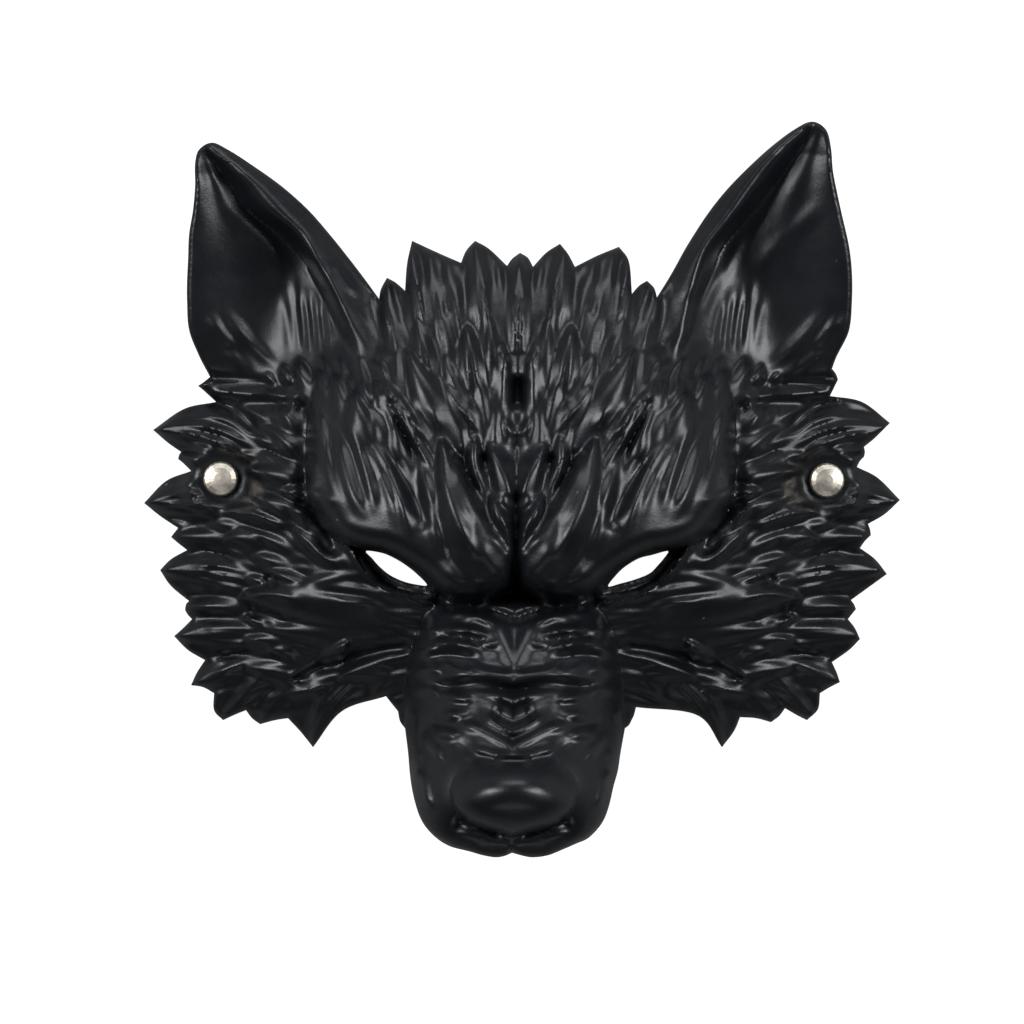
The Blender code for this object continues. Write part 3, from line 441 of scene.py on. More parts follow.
# Folds across the muzzle on the left half, in the same columns.
MUZZLE_FOLDS = (
    (440, 616, 470, 600, 505, 636, 6, 1.0),
    (456, 621, 476, 612, 494, 622, 5, 0.7),
    (492, 614, 503, 640, 516, 668, 12, 0.8),
    (440, 634, 466, 623, 500, 642, 6, 1.0),
    (506, 646, 512, 652, 517, 652, 6, 0.6),
    (426, 648, 452, 634, 489, 654, 6, 1.0),
    (473, 641, 490, 646, 506, 642, 5, 0.8),
    (396, 657, 420, 652, 446, 642, 7, 0.9),
    (400, 634, 424, 624, 446, 634, 6, 0.8),
    (400, 674, 424, 666, 450, 672, 6, 0.8),
    (404, 692, 424, 686, 446, 694, 6, 0.8),
    (406, 712, 414, 716, 422, 712, 6, 0.8),
    (406, 732, 414, 736, 422, 730, 6, 0.8),
    (408, 752, 416, 757, 424, 750, 6, 0.8),
    (410, 774, 418, 778, 426, 772, 6, 0.8),
    (466, 660, 472, 674, 517, 674, 5, 1.2),
    (445, 667, 462, 668, 480, 676, 6, 1.1),
    (430, 679, 484, 668, 517, 682, 6, 1.1),
    (439, 692, 492, 684, 517, 704, 6, 1.3),
    (445, 698, 460, 696, 476, 701, 5, 0.9),
    (456, 724, 480, 720, 513, 747, 8, 1.4),
    (440, 716, 456, 712, 474, 718, 6, 0.8),
    (462, 745, 490, 758, 513, 753, 6, 1.1),
    (430, 735, 446, 730, 462, 738, 7, 0.8),
    (422, 728, 432, 746, 444, 762, 6, 1.0),
    (426, 768, 420, 790, 432, 812, 6, 0.9),
    (420, 700, 413, 740, 416, 790, 6, 0.9),
    (430, 611, 470, 598, 512, 618, 5, -1.6),
    (430, 640, 460, 630, 492, 648, 4, -0.7),
    (424, 660, 450, 650, 484, 664, 4, -0.8),
    (420, 684, 470, 690, 517, 690, 6, -1.4),
    (490, 708, 504, 720, 517, 722, 11, -1.1),
    (452, 712, 490, 730, 517, 742, 7, -1.0),
    (446, 736, 490, 764, 517, 762, 7, -0.9),
    (484, 712, 492, 724, 512, 732, 6, 1.0),
    (424, 720, 444, 722, 462, 730, 4, -0.7),
    (452, 818, 472, 838, 517, 842, 8, 0.75),
    (474, 824, 490, 832, 506, 834, 5, -1.0),
    (516, 837, 516, 844, 515, 853, 4, -1.2),
)
LINE_TABLES = (BROW_LINES, FOREHEAD_LINES, CHEEK_LINES, EAR_LINES)
# Filling locks: spacing, length, half width and share of the lock rise.
FILLING_SIZES = (18.0, 62.0, 8.0, 0.5)
# Places where no filling locks grow: middle as x, y and the half sizes.
BARE_PLACES = (
    (398, 572, 56, 34), (516, 394, 14, 36), (221, 479, 26, 26), (180, 430, 42, 18), (172, 500, 42, 20),
    (190, 570, 36, 16), (470, 550, 60, 60), (335, 475, 40, 70), (300, 605, 70, 22), (314, 730, 18, 28),
    (380, 500, 40, 60), (240, 392, 40, 14),
)
# The pale rubbed streak on the left brow: place on the drawing, turn in degrees and half sizes.
SCUFF_PLACE = (447.0, 552.0)
SCUFF_TURN = 18.0
SCUFF_HALF_SIZES = (0.0013, 0.0036, 0.03)
# The nose pad: middle, half width and half height.
NOSE_X, NOSE_Y, NOSE_HALF_WIDTH, NOSE_HALF_HEIGHT = 514.0, 792.0, 63.0, 43.0
# Creases pressed into the form: both ends as x, y, half width, and the share of TRENCH_DEPTH.
CREASES = (
    (303, 410, 306, 500, 9, 0.9),
    (306, 500, 332, 546, 9, 0.8),
    (516, 384, 516, 402, 6, 0.8),
    (516, 450, 516, 500, 8, 0.3),
    (516, 500, 517, 592, 7, 1.0),
    (393, 405, 413, 458, 7, 0.5),
    (413, 458, 424, 520, 8, 0.5),
    (462, 456, 478, 502, 7, 0.4),
    (478, 502, 508, 548, 7, 0.4),
    (462, 824, 484, 836, 7, 0.7),
    (484, 836, 508, 839, 7, 0.7),
    (516, 842, 515, 853, 5, 0.5),
    (514, 592, 475, 606, 6, 0.8),
    (475, 606, 440, 600, 6, 0.8),
    (400, 645, 300, 676, 7, 0.6),
    (216, 402, 286, 404, 7, 0.5),
    (210, 380, 290, 388, 7, 0.5),
)
RIVET_PLACES = ((221.0, 479.0), (826.5, 480.5))
SIDE_NAMES = ("left", "right")

# Where the forms roll, fade or blend, in units of the drawing.
BROW_ROLL = 24
BROW_FALL = (40, 170)
BROW_FALL_SHARE = 0.85
BROW_FADE = (330, 560)
SOCKET_BLEND = 9
MUZZLE_START = 560
MUZZLE_TAKES_OVER = (592, 612)
FREE_EDGE_START = 727
FREE_EDGE_REACH = 118
EAR_BASE = 415
EAR_MARGIN = 60
EAR_FLOOR_SHARE = 0.55
EAR_RIM_MARGIN = 8
EAR_RIM_FALL = 60
EAR_FOOT_SHARE = 0.93
EAR_FOOT_FALL = 3.5
EAR_LINE_BLEND = 16
# The same as heights, in metres, and the share of the lock rise at which the rivets' pads lie.
MUZZLE_BLEND = 0.006
EAR_BLEND = 0.004
MUZZLE_SHARE_RANGE = (-0.002, 0.004)
PAD_SHARE = 0.4

# How far the grids of heights, points and relief reach over the drawing, and the back grid's cell.
GRID_X = (130, 915)
BACK_GRID_Y = (108, 872)
POINT_LEVELS = (112, 866)
RELIEF_X = (140.0, 522.0)
RELIEF_Y = (120.0, 872.0)
BACK_CELL = 3
POINT_CLEAR = 0.6
PAD_RING_SHARE = 0.8
PAD_RING_POINTS = 16
HOLE_POINTS = 24

# A lock's plan and section: its root's width, its taper, its point, its dome, where it is highest, and
# where its strands begin.
LOCK_ROOT = 0.7
LOCK_TAPER = 2.6
LOCK_POINT = 0.75
LOCK_DOME = 0.62
LOCK_TOP = 0.8
STRAND_START = (0.02, 0.2)
# Where the filling locks grow, how far they shift and bend, and the corners that the ears and the
# muzzle take.
FUR_X = (160, 520)
FUR_Y = (258, 735)
FUR_SEED = 7
FUR_ROW_SHARE = 0.8
FUR_SHIFT = 3
FUR_BEND = 8
FUR_RIM_CLEAR = 7
FUR_EAR_CORNER = (378, 378)
FUR_MUZZLE_CORNER = (408, 596)
FLOW_SOFTNESS = 40

# Fine lines: least half width, how much of the line its ends take, and from where it meets the middle.
LINE_LEAST_HALF = 5
LINE_END_SHARE = 0.35
LINE_MIDDLE = 508
# Crinkles down the muzzle: length, lean, share of the wrinkle rise, where they fade in and out, and
# the noises that bend them, each as reach, size and seed.
CRINKLE_LENGTH = 15.0
CRINKLE_LEAN = 0.3
CRINKLE_SHARE = 0.15
CRINKLE_TOP = (618, 640)
CRINKLE_FOOT = (735, 762)
CRINKLE_SIDE = (415, 440)
CRINKLE_BENDS = ((6, 24, 3), (3, 11, 4))
NOISE_CELLS = 95

# Noises of the finishes, each as scale and detail.
SKIN_CLOUD = (60, 4)
SKIN_SPECKS = (420, 1)
SKIN_BLOTCH = (90, 3)
SKIN_GRAIN = (1500, 2)
SKIN_DIMPLE = (260, 3)
SCUFF_GRAIN = (1400, 2)
METAL_CLOUD = (300, 4)
METAL_SCRATCH = (900, 2)
# Bumps, each as strength and depth in metres.
GRAIN_DEPTH = 0.00012
DIMPLE_BUMP = (0.25, 0.0004)
SCRATCH_BUMP = (0.12, 0.00008)
SCUFF_LEVEL = 0.06
# Roughness of the two metals, from smooth to cloudy.
NICKEL_ROUGHNESS = (0.38, 0.52)
STEEL_ROUGHNESS = (0.34, 0.46)

# Soft lights over the mask: name, place from the drawing's middle, size, and the look with the power.
LIGHT_TARGET_HEIGHT = 0.03
LIGHT_COLOUR = (0.94, 0.97, 1.0)
LIGHTS = (
    ("head_light", (0.0, 1.15, 0.52), (1.0, 0.40), "head_power"),
    ("foot_light", (0.0, -1.15, 0.75), (1.0, 0.35), "foot_power"),
    ("side_light", (-1.0, 0.35, 0.85), (0.45, 0.8), "side_power"),
    ("side_light", (1.0, 0.35, 0.85), (0.45, 0.8), "side_power"),
)
SENSOR_WIDTH = 36.0
FLOOR_HALF = 3.0
FLOOR_DROP = 0.0002


def smooth_run(points, spacing, closed=False):
    """Points about a spacing apart on a smooth curve through the given ones, in drawing units."""
    places = [np.array(point, dtype=float) for point in points]
    if closed:
        places = [places[-1]] + places + places[:2]
    else:
        places = [2 * places[0] - places[1]] + places + [2 * places[-1] - places[-2]]
    run = []
    for a, b, c, d in zip(places, places[1:], places[2:], places[3:]):
        steps = max(1, round(float(np.linalg.norm(c - b)) / spacing))
        for step in range(steps):
            t = step / steps
            run.append(0.5 * (2 * b + (c - a) * t + (2 * a - 5 * b + 4 * c - d) * t * t
                              + (3 * b - a - 3 * c + d) * t ** 3))
    if not closed:
        run.append(places[-2])
    return run


def tooth_run(rows, end, spacing):
    """The outline through a table of teeth, up to the place where the next feature starts."""
    run = []
    starts = [row[:2] for row in rows[1:]] + [end]
    for row, following in zip(rows, starts):
        run += smooth_run((row[0:2], row[2:4], row[4:6]), spacing)[:-1]
        run += smooth_run((row[4:6], row[6:8], following), spacing)[:-1]
    return run


def ear_run(rows, start, end, spacing):
    """An ear's edge from the crown's side over the tip and down to the ruff."""
    level = [row for row in rows if row[0] < min(start[1], 290)]
    inner = [start] + [(row[4], row[0]) for row in reversed(level[1:])]
    tip = (rows[0][1], rows[0][0])
    outer = [(row[1], row[0]) for row in rows[1:] if row[0] < end[1] - 8] + [end]
    return smooth_run(inner + [tip] + outer, spacing)[:-1]


def outline(spacing):
    """The mask's whole outline on the drawing, counter-clockwise as drawn."""
    left_ear_start, left_ear_end = (379, 299), LEFT_TEETH[0][:2]
    right_ear_start, right_ear_end = (657, 297.5), RIGHT_TEETH[0][:2]
    free = [row for row in MUZZLE_SECTIONS if row[4]]
    left = tooth_run(LEFT_CROWN, left_ear_start, spacing)
    left += ear_run(LEFT_EAR, left_ear_start, left_ear_end, spacing)
    left += tooth_run(LEFT_TEETH, (free[0][4], free[0][0]), spacing)
    left += smooth_run([(row[4], row[0]) for row in free] + list(LIP_LEFT) + [LIP_NOTCH], spacing)[:-1]
    right = tooth_run(RIGHT_CROWN, right_ear_start, spacing)
    right += ear_run(RIGHT_EAR, right_ear_start, right_ear_end, spacing)
    right += tooth_run(RIGHT_TEETH, (free[0][5], free[0][0]), spacing)
    right += smooth_run([(row[5], row[0]) for row in free] + list(reversed(LIP_RIGHT)) + [LIP_NOTCH],
                        spacing)
    return np.array(left + right[:0:-1])


def circle(centre, radius, count):
    """A circle of a real radius drawn on the sheet."""
    turns = [2 * math.pi * i / count for i in range(count)]
    return np.array([(centre[0] + radius / UNIT_X * math.cos(turn),
                      centre[1] + radius / UNIT_Y * math.sin(turn)) for turn in turns])


def step(values, low, high):
    """A smooth change from 0 at the low value to 1 at the high one."""
    share = np.clip((values - low) / (high - low), 0, 1)
    return share * share * (3 - 2 * share)


def axis(y):
    return AXIS_X + LEAN * (AXIS_Y - y)


def left_chart(x, y):
    """The place on the left half that the place x, y shares its form with."""
    middle = axis(y)
    return np.where(x > middle, middle - (x - middle) / RIGHT_STRETCH, x)


def segment_distance(x, y, start, end):
    """Distance from a segment and the share of the way along it."""
    dx, dy = end[0] - start[0], end[1] - start[1]
    along = np.clip(((x - start[0]) * dx + (y - start[1]) * dy) / (dx * dx + dy * dy), 0, 1)
    return np.hypot(x - start[0] - along * dx, y - start[1] - along * dy), along


def run_distance(x, y, run, closed=False):
    """Distance from the nearest segment of a run."""
    ends = list(run[1:]) + ([run[0]] if closed else [])
    nearest = np.full(np.shape(x), 1e9)
    for start, end in zip(run, ends):
        nearest = np.minimum(nearest, segment_distance(x, y, start, end)[0])
    return nearest


def inside(x, y, polygon):
    """Whether places lie inside a polygon."""
    odd = np.zeros(np.shape(x), dtype=bool)
    for (x0, y0), (x1, y1) in zip(polygon, np.roll(np.array(polygon, dtype=float), -1, axis=0)):
        if y0 != y1:
            crosses = (y0 > y) != (y1 > y)
            odd ^= crosses & (x < x0 + (y - y0) * (x1 - x0) / (y1 - y0))
    return odd


def smooth_table(rows, y):
    """All columns of a table at the given levels, with the rows joined smoothly."""
    levels = np.array([row[0] for row in rows], dtype=float)
    values = np.array([row[1:] for row in rows], dtype=float)
    place = np.clip(np.searchsorted(levels, y) - 1, 0, len(levels) - 2)
    share = np.clip((y - levels[place]) / (levels[place + 1] - levels[place]), 0, 1)[..., None]
    before = values[np.maximum(place - 1, 0)]
    after = values[np.minimum(place + 2, len(levels) - 1)]
    here, following = values[place], values[place + 1]
    return 0.5 * (2 * here + (following - before) * share
                  + (2 * before - 5 * here + 4 * following - after) * share ** 2
                  + (3 * here - before - 3 * following + after) * share ** 3)


def smooth_max(a, b, width):
    """The larger of two heights, blended where they meet."""
    blend = np.clip(0.5 + 0.5 * (a - b) / width, 0, 1)
    return b + (a - b) * blend + width * blend * (1 - blend)


def face_form(x, y):
    """The face and ruff without muzzle, ears or relief."""
    reach = np.interp(y, [row[0] for row in RUFF_REACH], [row[1] for row in RUFF_REACH])
    share = np.abs(x - axis(y)) / reach
    heights = smooth_table(FACE_SECTIONS, y)
    stations = np.array(FACE_STATIONS)
    place = np.clip(np.searchsorted(stations, share) - 1, 0, len(stations) - 2)
    t = np.clip((share - stations[place]) / (stations[place + 1] - stations[place]), 0, 1)

    def column(offset):
        index = np.abs(place + offset)
        index = np.minimum(index, len(stations) - 1)
        return np.take_along_axis(heights, index[..., None], axis=-1)[..., 0]

    a, b, c, d = column(-1), column(0), column(1), column(2)
    level = 0.5 * (2 * b + (c - a) * t + (2 * a - 5 * b + 4 * c - d) * t ** 2
                   + (3 * b - a - 3 * c + d) * t ** 3)
    return FACE_DEPTH * np.maximum(level, LEAST_HEIGHT)


def brow_form(x, y):
    """The two brow lobes, rolled over at their lower and outer edge."""
    edge = smooth_run(BROW_EDGE, 14)
    polygon = list(edge) + [np.array(point) for point in BROW_TOP]
    depth = run_distance(x, y, edge)
    roll = np.clip(depth / BROW_ROLL, 0, 1)
    rise = np.sqrt(1 - (1 - roll) ** 2) * (1 - BROW_FALL_SHARE * step(depth, *BROW_FALL))
    return BROW_RISE * np.where(inside(x, y, polygon), rise * step(y, *BROW_FADE), 0)


def muzzle_form(x, y):
    """The muzzle as rounded box sections that end in free side edges below the ruff."""
    values = smooth_table([row[:4] for row in MUZZLE_SECTIONS], y)
    half, top, edge = values[..., 0], values[..., 1], values[..., 2]
    share = np.clip(np.abs(x - axis(y)) / half, 0, 1.2)
    body = np.clip(1 - np.minimum(share, 1) ** MUZZLE_SQUARENESS, 0, 1) ** (1 / MUZZLE_SQUARENESS)
    level = edge + (top - edge) * body - 2.0 * np.maximum(share - 1, 0)
    return MUZZLE_REACH * np.where(y < MUZZLE_START, -1, level)


def nose_form(x, y):
    """The nose pad: full and steep below, shallow above."""
    across = (x - NOSE_X) / NOSE_HALF_WIDTH
    down = (y - NOSE_Y) / NOSE_HALF_HEIGHT
    fullness = 1.5 - 1.0 * step(down, -0.7, 0.4)
    return NOSE_RISE * np.clip(1 - across ** 2 - down ** 2, 0, 1) ** fullness


def ear_form(x, y, rows):
    """One ear: thin outer edge, hollow cup, crease, and the thick roll along the inner edge."""
    edges = smooth_table(rows, np.clip(y, rows[0][0] + 0.1, rows[-1][0]))
    down = (y - rows[0][0]) / (rows[-1][0] - rows[0][0])
    levels = smooth_table(EAR_HEIGHTS, np.clip(down, 0, 1))
    outer, crease, crest, inner = (edges[..., i] for i in range(4))
    sign = 1.0 if rows[-1][4] > rows[-1][1] else -1.0
    width = np.maximum(sign * (inner - outer), 1)
    q = sign * (x - outer) / width
    q_crease, q_crest = sign * (crease - outer) / width, sign * (crest - outer) / width
    q_floor = EAR_FLOOR_SHARE * q_crease
    rim, cup, foot, top, back = (levels[..., i] for i in range(5))
    roll = np.clip((q - q_crease) / np.maximum(q_crest - q_crease, 1e-3), 0, 1)
    height = np.where(q < q_crest, foot + (top - foot) * np.sin(0.5 * math.pi * roll),
                      top + (back - top) * step(q, q_crest, 1.0))
    height = np.where(q < q_crease, cup + (foot - cup) * step(q, q_floor, q_crease), height)
    height = np.where(q < q_floor, rim + (cup - rim) * step(q, 0.0, q_floor), height)
    beyond = np.maximum((q - 1) * width - EAR_RIM_MARGIN, 0) / EAR_RIM_FALL
    beyond = beyond + np.maximum(down - EAR_FOOT_SHARE, 0) * EAR_FOOT_FALL
    return FACE_DEPTH * (height - beyond)


def crease_form(x, y):
    """Depth of the creases and of the recess round the eye."""
    depth = np.zeros(np.shape(x))
    for x0, y0, x1, y1, half, share in CREASES:
        distance, _ = segment_distance(x, y, (x0, y0), (x1, y1))
        depth = np.maximum(depth, share * np.exp(-(distance / half) ** 2))
    socket = inside(x, y, SOCKET) * step(run_distance(x, y, SOCKET, closed=True), 0, SOCKET_BLEND)
    return TRENCH_DEPTH * depth + SOCKET_DEPTH * socket


def rivet_distance(place, x, y):
    """Distance over the drawing from a rivet's middle, in metres."""
    return np.hypot((x - place[0]) * UNIT_X, (y - place[1]) * UNIT_Y)


def form_height(x, y):
    """The mask's front without its locks and wrinkles."""
    chart = left_chart(x, y)
    face = face_form(x, y) + brow_form(chart, y)
    height = smooth_max(face, muzzle_form(x, y), MUZZLE_BLEND)
    for rows in (LEFT_EAR, RIGHT_EAR):
        low, high = sorted((rows[0][1], rows[-1][4]))
        near = (y < EAR_BASE) & (x > low - EAR_MARGIN) & (x < high + EAR_MARGIN)
        near = near & ((x < AXIS_X) if rows is LEFT_EAR else (x > AXIS_X))
        ear = np.where(near, ear_form(x, y, rows), -1)
        height = np.where(near, smooth_max(height, ear, EAR_BLEND), height)
    height = height + nose_form(x, y) - crease_form(chart, y)
    for place in RIVET_PLACES:
        level = rivet_level(place)
        distance = rivet_distance(place, x, y)
        height = level + (height - level) * step(distance, RIVET_PAD_RADIUS, 2.2 * RIVET_PAD_RADIUS)
    return height


def level_pads(x, y, height, drop):
    """Heights made level on the rivets' pads, that much below the caps' seats."""
    for place in RIVET_PLACES:
        distance = rivet_distance(place, x, y)
        height = np.where(distance < RIVET_PAD_RADIUS, rivet_level(place) - drop, height)
    return height


def rivet_level(place):
    """Height of the level pad that a rivet sits on."""
    x, y = np.array([place[0]]), np.array([place[1]])
    return float(face_form(x, y)[0]) + PAD_SHARE * LOCK_RISE


def rivet_cover(x, y):
    """1 away from the rivets' pads and 0 on them."""
    cover = np.ones(np.shape(x))
    for place in RIVET_PLACES:
        distance = rivet_distance(place, x, y)
        cover = cover * step(distance, RIVET_PAD_RADIUS, 1.7 * RIVET_PAD_RADIUS)
    return cover


def bent(row, bends):
    """Points along a row's bent line."""
    x0, y0, x1, y1, x2, y2 = row[:6]
    ts = np.linspace(0, 1, bends + 1)
    return [((1 - t) ** 2 * x0 + 2 * t * (1 - t) * x1 + t * t * x2,
             (1 - t) ** 2 * y0 + 2 * t * (1 - t) * y1 + t * t * y2) for t in ts]


def along_line(row, x, y, bends=8):
    """Signed distance across a row's bent line and share of the way along it."""
    best, across, along = np.full(x.shape, 1e9), np.zeros(x.shape), np.zeros(x.shape)
    points = bent(row, bends)
    for i, (start, end) in enumerate(zip(points, points[1:])):
        distance, part = segment_distance(x, y, start, end)
        side = (end[0] - start[0]) * (y - start[1]) - (end[1] - start[1]) * (x - start[0])
        closer = distance < best
        best = np.where(closer, distance, best)
        across = np.where(closer, np.where(side > 0, distance, -distance), across)
        along = np.where(closer, (i + part) / bends, along)
    return across, along


def window(row, xs, ys, margin):
    """The part of the relief sheet round a row, as index ranges and its own x and y."""
    left, right = np.searchsorted(xs, (min(row[0:6:2]) - margin, max(row[0:6:2]) + margin))
    top, bottom = np.searchsorted(ys, (min(row[1:6:2]) - margin, max(row[1:6:2]) + margin))
    x, y = np.meshgrid(xs[left:right], ys[top:bottom])
    return (slice(top, bottom), slice(left, right)), x, y


def lock_height(row, x, y, strand_share):
    """One leaf-shaped lock: low at its root, raised at its tip, with strands that meet there."""
    half, share, strands = row[6], row[7], row[8]
    across, along = along_line(row, x, y)
    root = np.minimum(1, LOCK_ROOT + LOCK_ROOT * along)
    width = half * root * np.clip(1 - along ** LOCK_TAPER, 0.01, 1) ** LOCK_POINT
    place = across / width
    dome = np.clip(1 - place ** 2, 0, 1) ** LOCK_DOME
    lift = share * np.sin(0.5 * math.pi * np.clip(along / LOCK_TOP, 0, 1))
    if strands < 2:
        return dome * lift
    grooves = 0.5 - 0.5 * np.cos(math.pi * (strands + 1) * (place + 1))
    return dome * lift * (1 - strand_share * (1 - grooves) * step(along, *STRAND_START))


def flow_field(rows, x, y):
    """Direction in which the fur lies, blended from the tabled locks."""
    fx, fy = np.zeros(x.shape), np.zeros(x.shape)
    for row in rows:
        length = math.hypot(row[4] - row[0], row[5] - row[1])
        dx, dy = (row[4] - row[0]) / length, (row[5] - row[1]) / length
        distance, _ = segment_distance(x, y, row[0:2], row[4:6])
        weight = 1 / (distance ** 2 + FLOW_SOFTNESS) ** 1.5
        fx += weight * dx
        fy += weight * dy
    size = np.hypot(fx, fy) + 1e-12
    return fx / size, fy / size


def filling_locks(rows):
    """Small locks that fill the fur between the tabled ones, laid along its flow."""
    spacing, length, half, share = FILLING_SIZES
    random = np.random.default_rng(FUR_SEED)
    found = []
    edge = outline(6.0)
    for number, y in enumerate(np.arange(*FUR_Y, FUR_ROW_SHARE * spacing)):
        for x in np.arange(FUR_X[0] + (number % 2) * spacing / 2, FUR_X[1], spacing):
            found.append((x + random.uniform(-FUR_SHIFT, FUR_SHIFT),
                          y + random.uniform(-FUR_SHIFT, FUR_SHIFT)))
    x, y = np.array(found).T
    keep = inside(x, y, edge) & (run_distance(x, y, edge, closed=True) > FUR_RIM_CLEAR)
    keep &= ~((x < FUR_EAR_CORNER[0]) & (y < FUR_EAR_CORNER[1]))
    keep &= ~((x > FUR_MUZZLE_CORNER[0]) & (y > FUR_MUZZLE_CORNER[1]))
    for middle_x, middle_y, size_x, size_y in BARE_PLACES:
        keep &= ((x - middle_x) / size_x) ** 2 + ((y - middle_y) / size_y) ** 2 > 1
    x, y = x[keep], y[keep]
    fx, fy = flow_field(rows, x, y)
    filling = []
    for px, py, dx, dy in zip(x, y, fx, fy):
        long = length * random.uniform(0.7, 1.3) * 0.5
        bend = random.uniform(-FUR_BEND, FUR_BEND)
        filling.append((px - dx * long, py - dy * long, px - dy * bend, py + dx * bend,
                        px + dx * long, py + dy * long, half * random.uniform(0.8, 1.2),
                        share * random.uniform(0.7, 1.3), 1))
    return filling


def softened(values, size):
    """A grid's values evened out over a bell of that many cells."""
    reach = int(3 * size) + 1
    bell = np.exp(-0.5 * (np.arange(-reach, reach + 1) / size) ** 2)
    bell /= bell.sum()
    for _ in range(2):
        padded = np.pad(values, ((reach, reach), (0, 0)), mode="edge")
        values = sum(w * padded[i:i + values.shape[0]] for i, w in enumerate(bell)).T
    return values


def line_relief(rows, xs, ys):
    """Ridges and creases, full in the middle and running out at both ends."""
    raised, pressed = np.zeros((len(ys), len(xs))), np.zeros((len(ys), len(xs)))
    for row in rows:
        part, x, y = window(row, xs, ys, 2.5 * row[6])
        across, along = along_line(row, x, y)
        reach = 1.0 if row[4] > LINE_MIDDLE else step(1 - along, 0.0, LINE_END_SHARE)
        body = row[7] * np.exp(-(across / max(row[6], LINE_LEAST_HALF)) ** 2 * 2)
        body = body * step(along, 0.0, LINE_END_SHARE) * reach
        raised[part] = np.maximum(raised[part], body)
        pressed[part] = np.minimum(pressed[part], body)
    return raised + pressed


def wave_noise(x, y, size, seed):
    """Smooth noise between -1 and 1 over the drawing."""
    random = np.random.default_rng(seed)
    grid = random.uniform(-1, 1, (NOISE_CELLS + 1, NOISE_CELLS + 1))
    u, v = (x / size) % NOISE_CELLS, (y / size) % NOISE_CELLS
    i, j = u.astype(int), v.astype(int)
    s, t = u - i, v - j
    s, t = s * s * (3 - 2 * s), t * t * (3 - 2 * t)
    return ((grid[j, i] * (1 - s) + grid[j, i + 1] * s) * (1 - t)
            + (grid[j + 1, i] * (1 - s) + grid[j + 1, i + 1] * s) * t)


def crinkles(x, y):
    """Small uneven waves across the muzzle's top, between 0 and 1."""
    bend = sum(reach * wave_noise(x, y, size, seed) for reach, size, seed in CRINKLE_BENDS)
    lean = CRINKLE_LEAN * np.abs(x - axis(y))
    waves = 0.5 + 0.5 * np.sin((y + bend + lean) / CRINKLE_LENGTH * 2 * math.pi)
    return waves * (step(y, *CRINKLE_TOP) * (1 - step(y, *CRINKLE_FOOT)) * step(x, *CRINKLE_SIDE))


def relief_sheets(sizes):
    """The left half's fur, fine lines and muzzle folds as grids over the drawing."""
    xs, ys = np.arange(*RELIEF_X), np.arange(*RELIEF_Y)
    rows = [row for table in LOCK_TABLES for row in table]
    fur = np.zeros((len(ys), len(xs)))
    for row in filling_locks(rows) + rows:
        part, x, y = window(row, xs, ys, row[6] + 4)
        fur[part] = np.maximum(fur[part], lock_height(row, x, y, sizes.strand_share))
    lines = line_relief([row for table in LINE_TABLES for row in table], xs, ys)
    x, y = np.meshgrid(xs, ys)
    folds = line_relief(MUZZLE_FOLDS, xs, ys)
    folds = np.where(folds < 0, folds, np.maximum(folds, CRINKLE_SHARE * crinkles(x, y)))
    fur = softened(sizes.lock_rise * fur + sizes.strand_depth * lines, sizes.softness)
    return ((xs, ys, fur), (xs, ys, softened(sizes.strand_depth * lines, sizes.softness)),
            (xs, ys, softened(sizes.wrinkle_rise * folds, sizes.softness)))


def muzzle_share(x, y):
    """1 on the muzzle and 0 on the furred face."""
    face, muzzle = face_form(x, y), muzzle_form(x, y)
    return step(muzzle - face, *MUZZLE_SHARE_RANGE) * step(y, *MUZZLE_TAKES_OVER)


def front_height(x, y, sizes):
    """The mask's front with all its relief."""
    chart = left_chart(x, y)
    muzzle = muzzle_share(x, y)
    fur_sheet, line_sheet, fold_sheet = relief_sheets(sizes)
    fur = sample(fur_sheet, chart, y)
    lines = sample(line_sheet, chart, y)
    for rows in (LEFT_EAR, RIGHT_EAR):
        polygon = [(row[4], row[0]) for row in reversed(rows[:-2])]
        polygon += [(row[1], row[0]) for row in rows[1:-1]]
        depth = step(run_distance(x, y, polygon, closed=True), 0, EAR_LINE_BLEND)
        fur = fur + (lines - fur) * np.where(inside(x, y, polygon), depth, 0)
    relief = fur * (1 - muzzle) + sample(fold_sheet, chart, y) * muzzle
    return form_height(x, y) + relief * rivet_cover(x, y)


def rounded_edge(x, y, loops, radius):
    """How far the front drops towards an edge that is rounded over."""
    near = np.full(x.shape, 1e9)
    for loop in loops[:3]:
        near = np.minimum(near, run_distance(x, y, list(loop), closed=True))
    within = np.clip(1 - near * UNIT_X / radius, 0, 1)
    return radius * (1 - np.sqrt(1 - within ** 2))


def back_field(cell):
    """Grid of the inner face: the form's lower envelope one wall inside it, never below the rest plane."""
    xs = np.arange(*GRID_X, cell)
    ys = np.arange(*BACK_GRID_Y, cell)
    x, y = np.meshgrid(xs.astype(float), ys.astype(float))
    form = np.where(inside(x, y, outline(8)), form_height(x, y), np.inf)
    field = form - WALL
    reach_x, reach_y = int(WALL / UNIT_X / cell), int(WALL / UNIT_Y / cell)
    for j in range(-reach_y, reach_y + 1):
        for i in range(-reach_x, reach_x + 1):
            flat = math.hypot(i * cell * UNIT_X, j * cell * UNIT_Y)
            if flat < WALL:
                moved = np.roll(np.roll(form, i, axis=1), j, axis=0) - math.sqrt(WALL ** 2 - flat ** 2)
                field = np.minimum(field, moved)
    return xs, ys, np.where(np.isfinite(field), field, 0)


